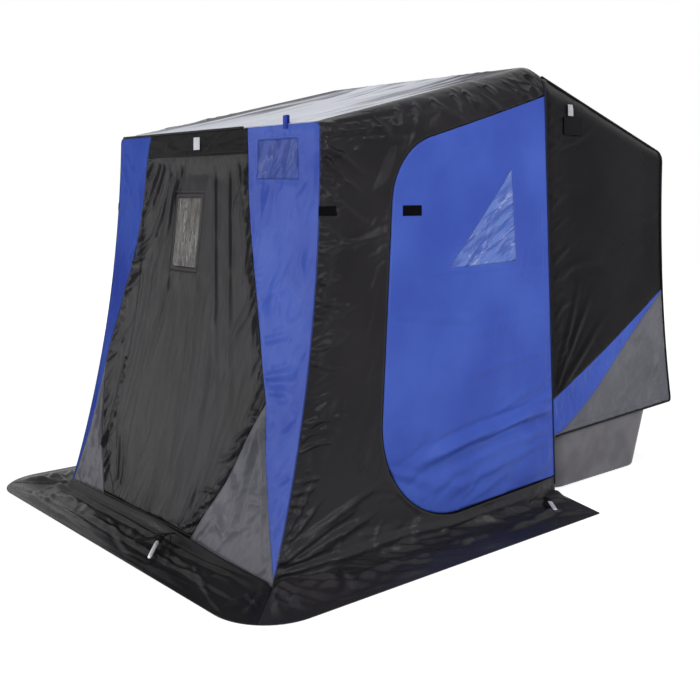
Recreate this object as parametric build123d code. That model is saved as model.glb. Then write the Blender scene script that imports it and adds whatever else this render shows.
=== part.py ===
"""Flip-over ice fishing hut: a cloth tent on folding tube bows, carried by a moulded sled.

Millimetres, +Z up. The hut is drawn with Y = 0 at the foot of the front wall and +Y running
back to the sled, +X to the right as seen from the front. Every piece is moved at the end, so
that the origin is the middle of the base.
"""
import math
import os
from build123d import *

os.makedirs("parts", exist_ok=True)

# --- tent: the leaning bows that the cloth is stretched over ---------------------------------
cloth = 4.0  # modelled thickness of the cloth
foot_half_width = 868.0  # front wall at the ground
eave_half_width = 782.0  # front wall under the eave
front_lean = 309.0  # the eave stands this far behind the foot
eave_height = 1737.0
front_sag = 66.0  # the front wall hollows inward by this much at mid height
front_corner_radius = 30.0  # rounding of the bow's top corners
seam_foot_half_width = 857.0  # side seam, where the door hangs, at the ground
peak_half_width = 815.0
seam_foot_y = 1730.0
peak_y = 1592.0
peak_height = 2045.0
peak_corner_radius = 150.0
rear_eave_y = 2615.0
rear_eave_height = 1702.0
rear_eave_half_width = 799.0
rear_hem_y = 2725.0
rear_hem_height = 340.0
rear_hem_half_width = 862.0
rear_corner_radius = 75.0
rear_sag = 45.0
side_hem_height = 300.0  # the hem over the sled, at the side seam

# --- front wall panels, in X and Z -----------------------------------------------------------
header_height = 1632.0  # seam under the header panel
sill_height = 42.0
strip_seams = {
    "right": (
        (309, 1780), (317, 1650), (335, 1440), (387, 1220), (461, 990), (543, 765),
        (596, 640), (652, 450), (730, 270), (815, 110), (880, 0),
    ),
    "left": (
        (-466, 1780), (-520, 1620), (-555, 1410), (-603, 1193), (-676, 994), (-750, 765),
        (-779, 620), (-791, 450), (-815, 270), (-842, 108), (-868, -40),
    ),
}
gusset_seams = {
    "right": ((655, 740), (596, 640), (522, 513), (431, 306), (326, 139), (250, -10)),
    "left": ((-815, 720), (-779, 620), (-725, 415), (-667, 264), (-560, 90), (-500, -10)),
}
door_film = ((-232, 1449), (-28, 1449), (-52, 1142), (-246, 1142))
film_tape = 20.0
strip_film = ((387, 1683), (649, 1679), (664, 1522), (387, 1528))

# --- side wall panels, in Y and Z ------------------------------------------------------------
door_top = 1905.0
door_bottom = 105.0
door_front_top = (685.0, 1640.0)  # corners of the D before they are rounded
door_front_low = (545.0, 62.0)
door_top_radius = 300.0
door_low_radius = 430.0
door_gap = 5.0
side_film = ((1380, 1572), (1417, 1167), (984, 1154))
stripe_upper = ((1500, 375), (1712, 487), (2071, 664), (2428, 853), (2850, 1082))
stripe_lower = (
    (1500, 225), (1712, 305), (1790, 325), (2020, 471), (2310, 712), (2478, 842), (2850, 1110)
)
rear_seam_height = 955.0

# --- door hinge: the door's hem turns on a sewn-in cord --------------------------------------
hinge_cord_radius = 4.0
hinge_clearance = 0.3
hem_wall = 2.2
hem_gap = 1.5
cord_overrun = 45.0

# --- trims laid on the cloth -----------------------------------------------------------------
trim_thickness = 1.5
header_tab = (-79.0, 1685.0, 50.0, 54.0)  # middle X and Z, width, height
side_tab = (1798.0, 1853.0, 40.0, 52.0)  # middle Y and Z, width, height
vent_flap = (1818.0, 1780.0, 140.0, 80.0)

# --- ground skirt ----------------------------------------------------------------------------
skirt_thickness = 3.0
skirt_half_width = 1164.0
skirt_front_y = -292.0
skirt_rear_y = 1667.0
skirt_end_y = 1785.0
skirt_corner_radius = 240.0
skirt_end_radius = 20.0
skirt_tuck = 60.0  # how far it runs in under the walls

# --- sled ------------------------------------------------------------------------------------
sled_wall = 5.0
sled_height = 350.0
sled_rim_half_length = 834.0
sled_rim_front_y = 1702.0
sled_rim_rear_y = 2608.0
sled_foot_half_length = 800.0
sled_foot_front_y = 1790.0
sled_foot_rear_y = 2536.0
sled_rim_radius = 120.0
sled_foot_radius = 90.0
sled_floor_radius = 22.0  # rounding between the walls and the floor
rim_lip = 8.0
rim_depth = 14.0
flute_count = 3
flute_length = 1300.0
flute_width = 70.0
flute_depth = 12.0

# --- bows ------------------------------------------------------------------------------------
tube_radius = 12.5
socket_radius = 15.0
ball_radius = 16.5
elbow_socket = 42.0
sleeve_half_length = 17.0
pole_slack = 1.5  # air between an elbow and the cloth
corner_slack = 4.0  # the same along a leaning wall
base_bend_height = 205.0
bow_seat = 0.3  # the base bow rests on the skirt
pivot_y = 1745.0
pivot_above_rim = 46.0
pivot_inset = 42.0  # from the outside of the cloth to the middle of the bracket
bracket_plate = 6.0
bracket_width = 150.0
bracket_radius = 30.0
pin_radius = 6.0
pin_spread = 44.0  # between the pivots of the three bows
eye_radius = 17.0
eye_width = 22.0
bracket_slack = 1.0  # between a leg and the plates beside it

# --- working lengths, past every piece -------------------------------------------------------
top = peak_height + 20
far = 1500.0
underground = -50.0
end_trim = 1.0  # the end walls are cut this far inside the first and last bow's plane


def at_height(low, high, z):
    """The point at height z on the straight line through two points."""
    share = (z - low[2]) / (high[2] - low[2])
    return tuple(a + (b - a) * share for a, b in zip(low, high))


def block(edges, plane, start, end):
    """A straight block through a wall, from an outline drawn on a plane."""
    face = plane * make_face(edges)
    return extrude(Pos(plane.z_dir * start) * face, amount=end - start)


def on_side(*edges):
    """A block through the right side wall, from an outline given in Y and Z."""
    return block(edges, Plane.YZ, 0, far)


def across(*edges):
    """A block through the whole hut from side to side, from an outline given in Y and Z."""
    return block(edges, Plane.YZ, -far, far)


def on_front(*edges):
    """A block through the front wall, from an outline given in X and Z."""
    return block(edges, Plane.XZ, -far / 2, far)


def loop(*points):
    return Polyline(*points, close=True)


def frame(centre_1, centre_2, width, height):
    """The corners of an upright rectangle, from its middle."""
    sides = ((-1, -1), (1, -1), (1, 1), (-1, 1))
    return loop(*((centre_1 + a * width / 2, centre_2 + b * height / 2) for a, b in sides))


def left(shape):
    return mirror(shape, about=Plane.YZ)


def rod(start, end, radius):
    """A round bar between two points."""
    run = Vector(*end) - Vector(*start)
    bar = Cylinder(radius, run.length, align=(Align.CENTER, Align.CENTER, Align.MIN))
    return Plane(origin=start, z_dir=run) * bar


origin_y = (skirt_front_y + rear_hem_y) / 2


def write(name, *shapes):
    """One node: one solid, or several that don't touch."""
    placed = [Pos(0, -origin_y, 0) * shape for shape in shapes]
    solids = [solid for shape in placed for solid in shape.solids()]
    export_step(Compound(children=solids) if len(solids) > 1 else solids[0], f"parts/{name}.step")


# --- the tent's body: ruled from bow to bow, then hollowed in front and behind ---------------
front_line = ((foot_half_width, 0, 0), (eave_half_width, front_lean, eave_height))
seam_line = ((seam_foot_half_width, seam_foot_y, 0), (peak_half_width, peak_y, peak_height))
rear_line = (
    (rear_hem_half_width, rear_hem_y, rear_hem_height),
    (rear_eave_half_width, rear_eave_y, rear_eave_height),
)


def bow_section(line, corner_radius, inset):
    """What the cloth encloses on the leaning plane of one bow, from below the ground up."""
    foot = at_height(*line, underground)
    head = line[1]
    lean = Vector(0, head[1] - foot[1], head[2] - foot[2])
    plane = Plane(origin=(0, foot[1], foot[2]), x_dir=(1, 0, 0), z_dir=(0, -lean.Z, lean.Y))
    corners = ((foot[0] - inset, 0), (head[0] - inset, lean.length - inset))
    bow = FilletPolyline(
        corners[0],
        corners[1],
        (-corners[1][0], corners[1][1]),
        (-corners[0][0], corners[0][1]),
        radius=corner_radius - inset,
    )
    return plane * make_face([*bow.edges(), Line(bow @ 1, bow @ 0)])


def hollow_of(foot, head, sag, facing):
    """Centre (Y, Z) and radius of the drum that hollows an end wall between foot and head."""
    chord = math.dist(foot, head)
    radius = chord**2 / (8 * sag) + sag / 2
    reach = (radius - sag) / chord * facing
    centre = (
        (foot[0] + head[0]) / 2 + reach * (head[1] - foot[1]),
        (foot[1] + head[1]) / 2 - reach * (head[0] - foot[0]),
    )
    return centre, radius + end_trim


def drum(centre, radius):
    return extrude(Plane.YZ * Pos(*centre) * Circle(radius), amount=far, both=True)


def body(inset):
    """The solid inside the cloth's surface, moved in by a distance."""
    bows = [
        bow_section(front_line, front_corner_radius, inset),
        bow_section(seam_line, peak_corner_radius, inset),
        bow_section(rear_line, rear_corner_radius, inset),
    ]
    solid = loft(bows[:2], ruled=True) + loft(bows[1:], ruled=True)
    return solid - drum(front_centre, front_radius + inset) - drum(rear_centre, rear_radius + inset)


front_centre, front_radius = hollow_of((0, 0), (front_lean, eave_height), front_sag, -1)
rear_centre, rear_radius = hollow_of(
    (rear_hem_y, rear_hem_height), (rear_eave_y, rear_eave_height), rear_sag, 1
)
inside = body(cloth)
shell = body(0) - inside

above_skirt = across(loop(
    (-far, skirt_thickness), (3 * far, skirt_thickness), (3 * far, top), (-far, top)
))
hem_slope = (rear_hem_height - side_hem_height) / (rear_hem_y - seam_foot_y)
hem_end = (2 * far, side_hem_height + hem_slope * (2 * far - seam_foot_y))
seam_foot = at_height(*seam_line, underground)
seam_head = at_height(*seam_line, top)
before_seam = across(loop(
    (-far, underground), (seam_foot[1], underground), (seam_head[1], top), (-far, top)
))
above_hem = across(loop(
    (peak_y - far, side_hem_height),
    (seam_foot_y, side_hem_height),
    hem_end,
    (2 * far, top),
    (peak_y - far, top),
))

front_wall = shell & drum(front_centre, front_radius + cloth) & above_skirt
rear_wall = (shell & drum(rear_centre, rear_radius + cloth) & above_hem) - before_seam
between_walls = shell - drum(front_centre, front_radius + cloth) - drum(rear_centre, rear_radius + cloth)

# the roof ends at the seams along the start of the rounded corners
roof_edge = (
    (eave_half_width - front_corner_radius, front_lean),
    (peak_half_width - peak_corner_radius, peak_y),
    (rear_eave_half_width - rear_corner_radius, rear_eave_y),
)
roof_outline = loop(
    (roof_edge[0][0], 0),
    *roof_edge,
    (roof_edge[2][0], 2 * far),
    (-roof_edge[2][0], 2 * far),
    *((-x, y) for x, y in reversed(roof_edge)),
    (-roof_edge[0][0], 0),
)
roof_block = block([roof_outline], Plane.XY, front_lean, top)
before_peak = across(loop((0, 0), (peak_y, 0), (peak_y, top), (0, top)))
roof = between_walls & roof_block
write("roof_front_panel", roof & before_peak)
write("roof_rear_panel", roof - before_peak)

# --- front wall ------------------------------------------------------------------------------
rest = front_wall
for side, sign in (("right", 1), ("left", -1)):
    blocks = []
    for seam in (strip_seams[side], gusset_seams[side]):
        outer = (seam[-1], (sign * far, underground), (sign * far, seam[0][1]), seam[0])
        blocks.append(on_front(Spline(*seam), Polyline(*outer)))
    strip_block, gusset_block = blocks
    strip = rest & strip_block
    rest = rest - strip_block
    if side == "right":
        film = on_front(loop(*strip_film))
        write("strip_window_right", strip & film)
        strip = strip - film
    write(f"front_strip_{side}", strip)
    write(f"front_gusset_{side}", rest & gusset_block)
    rest = rest - gusset_block

header = on_front(loop((-far, header_height), (far, header_height), (far, top), (-far, top)))
sill = on_front(loop((-far, underground), (far, underground), (far, sill_height), (-far, sill_height)))
film = on_front(loop(*door_film))
taped = offset(make_face(loop(*door_film)), amount=film_tape, kind=Kind.INTERSECTION)
taped = on_front(*taped.edges())
write("front_header_panel", rest & header)
write("front_sill_band", rest & sill)
write("front_door_window", rest & film)
write("front_window_tape", (rest & taped) - film)
write("front_door_panel", rest - header - sill - taped)

# --- rear wall -------------------------------------------------------------------------------
below_rear_seam = across(loop(
    (peak_y, 0), (2 * far, 0), (2 * far, rear_seam_height), (peak_y, rear_seam_height)
))
write("rear_lower_panel", rear_wall & below_rear_seam)
write("rear_wall_panel", rear_wall - below_rear_seam)

# --- side walls, drawn on the right and mirrored ---------------------------------------------
right_half = on_side(loop((-far, underground), (3 * far, underground), (3 * far, top), (-far, top)))
side_wall = (between_walls - roof_block) & right_half
cloth_before_seam = side_wall & before_seam & above_skirt
cloth_behind_seam = (side_wall - before_seam) & above_hem


def seam_point(z):
    """A point of the hinge axis: the side seam, in the middle of the cloth."""
    x, y, z = at_height(*seam_line, z)
    return (x - cloth / 2, y, z)


def door_outline(z_low, z_high):
    """The D of the door: straight at the seam, rounded at its two front corners."""
    high = (seam_point(z_high)[1], z_high)
    foot = (seam_point(z_low)[1], z_low)
    radii = (door_top_radius, door_low_radius)
    edge = FilletPolyline(high, door_front_top, door_front_low, foot, radius=radii)
    return make_face([*edge.edges(), Line(foot, high)])


door_face = door_outline(door_bottom, door_top)
doorway = on_side(*offset(door_face, amount=door_gap, kind=Kind.ARC).edges())
cord = rod(
    seam_point(door_bottom - cord_overrun), seam_point(door_top + cord_overrun), hinge_cord_radius
)
bore_radius = hinge_cord_radius + hinge_clearance
hem_radius = bore_radius + hem_wall
bore = rod(seam_point(underground), seam_point(top), bore_radius)
hem = rod(seam_point(door_bottom), seam_point(door_top), hem_radius)
hem_room = rod(
    seam_point(door_bottom - door_gap), seam_point(door_top + door_gap), hem_radius + hem_gap
)

side_film_block = on_side(loop(*side_film))
door_cloth = cloth_before_seam & on_side(*door_face.edges())
rear_cloth = cloth_behind_seam - hem_room - cord


def above_seam(points):
    """A block through the side wall, over a curved seam that runs back from the side seam."""
    high_end = (points[-1][0], top)
    high_start = (points[0][0], top)
    return on_side(Spline(*points), Polyline(points[-1], high_end, high_start, points[0]))


above_stripe = above_seam(stripe_upper)
above_lower = above_seam(stripe_lower)
side_pieces = {
    "side_front_panel": cloth_before_seam - doorway - hem_room - cord,
    "side_door": (door_cloth - side_film_block + hem) - bore,
    "side_door_window": door_cloth & side_film_block,
    "door_hinge_cord": cord,
    "side_rear_panel": rear_cloth & above_stripe,
    "side_stripe": (rear_cloth & above_lower) - above_stripe,
    "side_lower_panel": rear_cloth - above_lower,
}
for name, piece in side_pieces.items():
    write(f"{name}_right", piece)
    write(f"{name}_left", left(piece))

# --- trims: thin plates that lie on the outside of the cloth ---------------------------------
skin = body(-trim_thickness) - body(0)
header_plate = skin & on_front(frame(*header_tab)) & before_peak
side_plate = skin & on_side(frame(*side_tab))
flap = skin & on_side(frame(*vent_flap))
write("reflective_tabs", header_plate, side_plate, left(side_plate))
write("vent_flaps", flap, left(flap))

# --- ground skirt ----------------------------------------------------------------------------
tuck_corner = (foot_half_width - skirt_tuck, skirt_tuck)
tuck_end = (seam_foot_half_width - skirt_tuck, skirt_end_y)
rim = FilletPolyline(
    tuck_end,
    (skirt_half_width, skirt_rear_y),
    (skirt_half_width, skirt_front_y),
    (0, skirt_front_y),
    radius=(skirt_end_radius, skirt_corner_radius),
)
inner_edge = Polyline((0, skirt_front_y), (0, skirt_tuck), tuck_corner, tuck_end)
half_skirt = extrude(make_face([*rim.edges(), *inner_edge.edges()]), amount=skirt_thickness)
front_share = loop(tuck_corner, (tuck_corner[0] + far, tuck_corner[1] - far), (0, -far), (0, skirt_tuck))
front_share = extrude(make_face(front_share), amount=skirt_thickness)
half_front = half_skirt & front_share
write("skirt_front", half_front + left(half_front))
write("skirt_right", half_skirt - front_share)
write("skirt_left", left(half_skirt - front_share))


# --- sled: a tub with a rounded floor, a turned rim and flutes moulded into its floor --------
def tub_section(z, share, inset):
    """Rounded rectangle of the tub between its foot (0) and its rim (1)."""
    half_length = sled_foot_half_length + share * (sled_rim_half_length - sled_foot_half_length)
    front = sled_foot_front_y + share * (sled_rim_front_y - sled_foot_front_y)
    rear = sled_foot_rear_y + share * (sled_rim_rear_y - sled_foot_rear_y)
    radius = sled_foot_radius + share * (sled_rim_radius - sled_foot_radius)
    section = RectangleRounded(
        2 * (half_length - inset), rear - front - 2 * inset, radius - inset
    )
    return Pos(0, (front + rear) / 2, z) * section


def round_floor(tub, radius):
    return fillet(tub.faces().sort_by(Axis.Z)[0].edges(), radius)


def flutes(height, grow):
    """Long raised channels across the width of the hut, evenly spaced over the floor."""
    pitch = (sled_foot_rear_y - sled_foot_front_y) / flute_count
    slot = SlotOverall(flute_length + 2 * grow, flute_width + 2 * grow)
    middle = (sled_foot_front_y + sled_foot_rear_y) / 2
    rows = [middle + (row - (flute_count - 1) / 2) * pitch for row in range(flute_count)]
    return [extrude(Pos(0, y, 0) * slot, amount=height) for y in rows]


outer_tub = round_floor(loft([tub_section(0, 0, 0), tub_section(sled_height, 1, 0)]), sled_floor_radius)
inner_tub = round_floor(
    loft([
        tub_section(sled_wall, sled_wall / sled_height, sled_wall),
        tub_section(sled_height, 1, sled_wall),
    ]),
    sled_floor_radius - sled_wall,
)
for raised in flutes(flute_depth + sled_wall, sled_wall):
    inner_tub = inner_tub - raised
lip = extrude(tub_section(sled_height - rim_depth, 1, -rim_lip), amount=rim_depth)
tub = outer_tub + lip - inner_tub
for channel in flutes(flute_depth, 0):
    tub = tub - channel
write("sled_tub", tub)

# --- bow corners, worked out from the cloth that they carry ----------------------------------
reach = ball_radius + pole_slack


def wall_x(first, second, y, z):
    """Half width of the inside of the side cloth, at a point between two of its lines."""
    a = at_height(*first, z)
    b = at_height(*second, z)
    return a[0] + (b[0] - a[0]) * (y - a[1]) / (b[1] - a[1]) - cloth


def front_wall_y(z):
    """How far back the inside of the front wall stands at height z."""
    return front_centre[0] + math.sqrt((front_radius + cloth) ** 2 - (z - front_centre[1]) ** 2)


def roof_z(low, high, y):
    """Height of the underside of a roof slope between two eave points."""
    slope = (high[1] - low[1]) / (high[0] - low[0])
    return low[1] + slope * (y - low[0]) - (cloth + reach) * math.hypot(1, slope)


def corner(first, second, y, z):
    """A bow's corner, clear of the side wall by its own reach."""
    return (wall_x(first, second, y, z) - reach - corner_slack, y, z)


front_eave = (front_lean, eave_height)
peak = (peak_y, peak_height)
rear_eave = (rear_eave_y, rear_eave_height)
front_bow_y = front_lean + cloth + reach + corner_slack
rear_bow_y = rear_eave_y - cloth - reach - 2 * corner_slack
front_corner = corner(front_line, seam_line, front_bow_y, roof_z(front_eave, peak, front_bow_y))
rear_corner = corner(seam_line, rear_line, rear_bow_y, roof_z(rear_eave, peak, rear_bow_y))
peak_bow_y = peak_y - corner_slack
peak_bow_z = roof_z(front_eave, peak, peak_bow_y) - corner_slack
peak_corner = corner(front_line, seam_line, peak_bow_y, peak_bow_z)
base_bend_y = front_wall_y(base_bend_height) + reach + corner_slack
base_bend = corner(front_line, seam_line, base_bend_y, base_bend_height)
base_corner_z = skirt_thickness + ball_radius + bow_seat
base_corner_y = front_wall_y(base_corner_z) + reach + corner_slack
base_corner = corner(front_line, seam_line, base_corner_y, base_corner_z)
pivot_z = sled_height + pivot_above_rim
pivot_x = wall_x(front_line, seam_line, pivot_y, pivot_z) - pivot_inset
peak_pivot = (pivot_x, pivot_y, pivot_z)
rear_pivot = (pivot_x, pivot_y + pin_spread, pivot_z)
base_pivot = (pivot_x, pivot_y - pin_spread, pivot_z)


def towards(start, end, distance):
    run = (Vector(*end) - Vector(*start)).normalized()
    return tuple(Vector(*start) + run * distance)


def opposite(point):
    return (-point[0], point[1], point[2])


def elbow(centre, *ends):
    """A moulded corner: a ball with a socket towards each tube."""
    shape = Pos(*centre) * Sphere(ball_radius)
    for end in ends:
        start = towards(centre, end, socket_radius / 3)
        shape += rod(start, towards(centre, end, elbow_socket), socket_radius)
    return shape


def bent_elbow(first, centre, last, cloth_radius):
    """A corner bent to follow the cloth's own rounding, with a straight socket at each end."""
    bend_radius = cloth_radius - cloth - reach
    socket = bend_radius + elbow_socket
    path = FilletPolyline(
        towards(centre, first, socket), centre, towards(centre, last, socket), radius=bend_radius
    )
    return sweep(Plane(origin=path @ 0, z_dir=path % 0) * Circle(socket_radius), path=path)


def tube(start, end, start_gap=elbow_socket, end_gap=elbow_socket):
    return rod(towards(start, end, start_gap), towards(end, start, end_gap), tube_radius)


def pin(point, half_length, radius):
    """A round bar along X through a pivot."""
    x, y, z = point
    return rod((x - half_length, y, z), (x + half_length, y, z), radius)


# --- brackets: a plate each side of the three legs, on a block that stands on the rim --------
bracket_x = tube_radius + bracket_slack
bracket_side = Plane.YZ * Pos(pivot_y, sled_height + (pivot_above_rim + bracket_radius) / 2)
bracket_side = bracket_side * RectangleRounded(
    bracket_width, pivot_above_rim + bracket_radius, bracket_radius * 2 / 3
)
plate = extrude(bracket_side, amount=bracket_plate)
bracket = Pos(pivot_x + bracket_x, 0, 0) * plate + Pos(pivot_x - bracket_x - bracket_plate, 0, 0) * plate
foot_height = pivot_above_rim - eye_radius - bracket_slack
on_base = (Align.CENTER, Align.CENTER, Align.MIN)
bracket_foot = Box(2 * (bracket_x + bracket_plate), bracket_width, foot_height, align=on_base)
bracket = bracket + Pos(pivot_x, pivot_y, sled_height) * bracket_foot
for point in (peak_pivot, rear_pivot, base_pivot):
    bracket = bracket + pin(point, bracket_x + bracket_plate + pin_radius / 2, pin_radius)
write("pivot_bracket_right", bracket)
write("pivot_bracket_left", left(bracket))


def leg(point, end, end_gap):
    """A bow's leg, from its flattened eye round the bracket's pin to its corner."""
    shank = rod(towards(point, end, pin_radius), towards(end, point, end_gap), tube_radius)
    eye = pin(point, eye_width / 2, eye_radius)
    return shank + eye - pin(point, eye_width, pin_radius + hinge_clearance)


def bend_gap(cloth_radius):
    return cloth_radius - cloth - reach + elbow_socket


peak_gap = bend_gap(peak_corner_radius)
rear_gap = bend_gap(rear_corner_radius)
peak_leg = leg(peak_pivot, peak_corner, peak_gap)
rear_leg = leg(rear_pivot, rear_corner, rear_gap)
base_leg = leg(base_pivot, base_bend, elbow_socket)
drop = tube(base_bend, base_corner)
peak_across = opposite(peak_corner)
peak_elbow = bent_elbow(peak_pivot, peak_corner, peak_across, peak_corner_radius)
rear_elbow = bent_elbow(rear_pivot, rear_corner, opposite(rear_corner), rear_corner_radius)

# the rail under the eave starts from a sleeve on the inner socket of the peak bow's elbow
rail_start = towards(peak_corner, peak_across, peak_gap - elbow_socket / 2)
rail = tube(rail_start, front_corner)
rail_socket = rod(rail_start, towards(rail_start, front_corner, elbow_socket), socket_radius)
sleeve = rod(
    towards(rail_start, peak_corner, sleeve_half_length),
    towards(rail_start, peak_across, sleeve_half_length),
    ball_radius,
)
write("peak_bow_legs", peak_leg, left(peak_leg))
write("rear_bow_legs", rear_leg, left(rear_leg))
write("base_bow_legs", base_leg, left(base_leg), drop, left(drop))
write("roof_rails", rail, left(rail))
write("peak_bow_spreader", tube(peak_corner, peak_across, peak_gap, peak_gap))
write("front_bow_spreader", tube(front_corner, opposite(front_corner)))
write("rear_bow_spreader", tube(rear_corner, opposite(rear_corner), rear_gap, rear_gap))
write("base_bow_spreader", tube(base_corner, opposite(base_corner)))

elbows = {
    "peak_bow_elbows": peak_elbow + (sleeve + rail_socket),
    "front_bow_elbows": elbow(front_corner, rail_start, opposite(front_corner)),
    "rear_bow_elbows": rear_elbow,
    "base_bow_bends": elbow(base_bend, base_pivot, base_corner),
    "base_bow_elbows": elbow(base_corner, base_bend, opposite(base_corner)),
}
for name, piece in elbows.items():
    write(name, piece, left(piece))
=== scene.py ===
"""Flip-over ice fishing hut: coated cloth on folding steel bows, over a moulded sled.

Metres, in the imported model's frame. The cloth is worked out in the hut's own drawing frame,
where Y = 0 is the foot of the front wall, and is moved back by origin_y when it is placed.
"""

import math

import bpy
import numpy as np
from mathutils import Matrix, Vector, geometry
from mathutils.bvhtree import BVHTree


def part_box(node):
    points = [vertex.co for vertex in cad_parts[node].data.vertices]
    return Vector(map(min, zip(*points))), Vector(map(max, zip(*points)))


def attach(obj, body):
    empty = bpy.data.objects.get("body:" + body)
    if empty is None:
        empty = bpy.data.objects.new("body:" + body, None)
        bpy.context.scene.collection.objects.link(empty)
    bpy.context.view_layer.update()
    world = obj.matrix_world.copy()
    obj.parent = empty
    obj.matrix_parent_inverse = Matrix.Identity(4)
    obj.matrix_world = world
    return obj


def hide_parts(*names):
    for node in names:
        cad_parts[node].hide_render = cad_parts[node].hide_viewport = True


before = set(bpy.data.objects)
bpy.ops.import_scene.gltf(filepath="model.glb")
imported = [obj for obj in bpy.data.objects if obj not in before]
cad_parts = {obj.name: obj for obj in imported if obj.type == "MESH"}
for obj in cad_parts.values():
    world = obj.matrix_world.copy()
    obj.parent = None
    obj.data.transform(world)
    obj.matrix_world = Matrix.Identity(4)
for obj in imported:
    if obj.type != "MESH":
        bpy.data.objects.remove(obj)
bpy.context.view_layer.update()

# --- Viewpoint --------------------------------------------------------------------------------
# A standing person's height, off the hut's front right corner, so that the front wall, the
# door side and the end of the sled all show.


def placed(name, data):
    """A new object in the scene."""
    made = bpy.data.objects.new(name, data)
    bpy.context.scene.collection.objects.link(made)
    return made


view_from = placed("viewpoint", bpy.data.cameras.new("viewpoint"))
bpy.context.scene.camera = view_from
view_azimuth, view_elevation = math.radians(49.3), math.radians(9.23)
looking = Vector((
    -math.sin(view_azimuth) * math.cos(view_elevation),
    math.cos(view_azimuth) * math.cos(view_elevation),
    -math.sin(view_elevation),
))
view_from.location = (3.67, -3.2396, 1.47)
view_from.rotation_euler = looking.to_track_quat("-Z", "Y").to_euler()
view_from.data.sensor_width = 36.0
view_from.data.lens = 49.7

# --- Studio -----------------------------------------------------------------------------------
# A plain white sweep under four soft boxes and an even dome. The floor and the dome are white
# where the viewpoint, a gloss or a clear film sees them, and the floor keeps the shadow.
bpy.context.scene.view_settings.view_transform = "Standard"


class Thread:
    """A value on its way through a finish's nodes: arithmetic on it adds Math nodes."""

    def __init__(self, tree, socket=None):
        self.tree, self.socket = tree, socket

    def node(self, kind, settings=(), sockets=(), outlet=0):
        """Any node: its settings, then the values or threads of its sockets, then one outlet."""
        made = self.tree.nodes.new(kind)
        for name, value in dict(settings).items():
            setattr(made, name, value)
        for name, value in dict(sockets).items():
            if isinstance(value, Thread):
                self.tree.links.new(value.socket, made.inputs[name])
            else:
                made.inputs[name].default_value = value
        return Thread(self.tree, made.outputs[outlet] if len(made.outputs) else None)

    def shown(self, kind="ShaderNodeOutputMaterial"):
        """Ends the tree: this shader is the one that its material or world shows."""
        self.node(kind, sockets={"Surface": self})

    def maths(self, operation, *values):
        return self.node("ShaderNodeMath", {"operation": operation}, enumerate(values))

    def __add__(self, other):
        return self.maths("ADD", self, other)

    __radd__ = __add__

    def __sub__(self, other):
        return self.maths("SUBTRACT", self, other)

    def __rsub__(self, other):
        return self.maths("SUBTRACT", other, self)

    def __mul__(self, other):
        return self.maths("MULTIPLY", self, other)

    __rmul__ = __mul__

    def __abs__(self):
        return self.maths("ABSOLUTE", self)

    def clear_of(self, low, high):
        """0 below low, 1 above high, smooth between."""
        return self.node(
            "ShaderNodeMapRange",
            {"interpolation_type": "SMOOTHSTEP"},
            {"Value": self, "From Min": low, "From Max": high},
        )

    def sine(self):
        return self.maths("SINE", self)

    def axis(self, index):
        """The X, Y or Z of this place."""
        return self.node("ShaderNodeSeparateXYZ", sockets={0: self}, outlet=index)

    def noise(self, scale, detail, **more):
        """Soft random unevenness over this place."""
        return self.node(
            "ShaderNodeTexNoise",
            sockets={"Vector": self, "Scale": scale, "Detail": detail, **more},
        )

    def tint(self, first, second):
        """The first colour where this is 0, the second where it is 1."""
        return self.node(
            "ShaderNodeMix", {"data_type": "RGBA"}, {0: self, 6: first, 7: second}, outlet=2
        )

    def relief(self, distance, strength):
        """A bump of this height for a shader's Normal."""
        return self.node(
            "ShaderNodeBump", sockets={"Height": self, "Distance": distance, "Strength": strength}
        )


def bare(owner):
    """Empties a material's or world's nodes, and gives the thread that new ones start from."""
    owner.use_nodes = True
    owner.node_tree.nodes.clear()
    return Thread(owner.node_tree)


def seen_by_eye(start):
    """1 for what the viewpoint, a gloss or a clear film sees, 0 for what lights the hut."""
    camera, gloss, clear = (
        start.node("ShaderNodeLightPath", outlet=name)
        for name in ("Is Camera Ray", "Is Glossy Ray", "Is Transmission Ray")
    )
    return start.maths("MAXIMUM", start.maths("MAXIMUM", camera, gloss), clear)


dome = bpy.data.worlds.new("studio_dome")
bpy.context.scene.world = dome
start = bare(dome)
lighting, white = (
    start.node("ShaderNodeBackground", sockets={"Color": (1, 1, 1, 1), "Strength": strength})
    for strength in (0.30, 1.0)
)
start.node(
    "ShaderNodeMixShader", sockets={0: seen_by_eye(start), 1: lighting, 2: white}
).shown("ShaderNodeOutputWorld")

floor_half, floor_z = 14.0, -0.001
floor_mesh = bpy.data.meshes.new("studio_floor")
floor_mesh.from_pydata(
    [(x * floor_half, y * floor_half, floor_z) for x, y in ((-1, -1), (1, -1), (1, 1), (-1, 1))],
    [],
    [(0, 1, 2, 3)],
)
studio_floor = placed("studio_floor", floor_mesh)
floor_finish = bpy.data.materials.new("studio_floor")
start = bare(floor_finish)
matt = start.node("ShaderNodeBsdfDiffuse", sockets={"Color": (0.8, 0.8, 0.8, 1)})
from_hut = start.node(
    "ShaderNodeVectorMath",
    {"operation": "LENGTH"},
    {0: start.node("ShaderNodeTexCoord", outlet="Object")},
    outlet="Value",
)
glow = from_hut.clear_of(2.5, 8.0) * 0.35 + 0.60
lifted = start.node("ShaderNodeEmission", sockets={"Strength": seen_by_eye(start) * glow})
start.node("ShaderNodeAddShader", sockets={0: matt, 1: lifted}).shown()
floor_mesh.materials.append(floor_finish)

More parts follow.
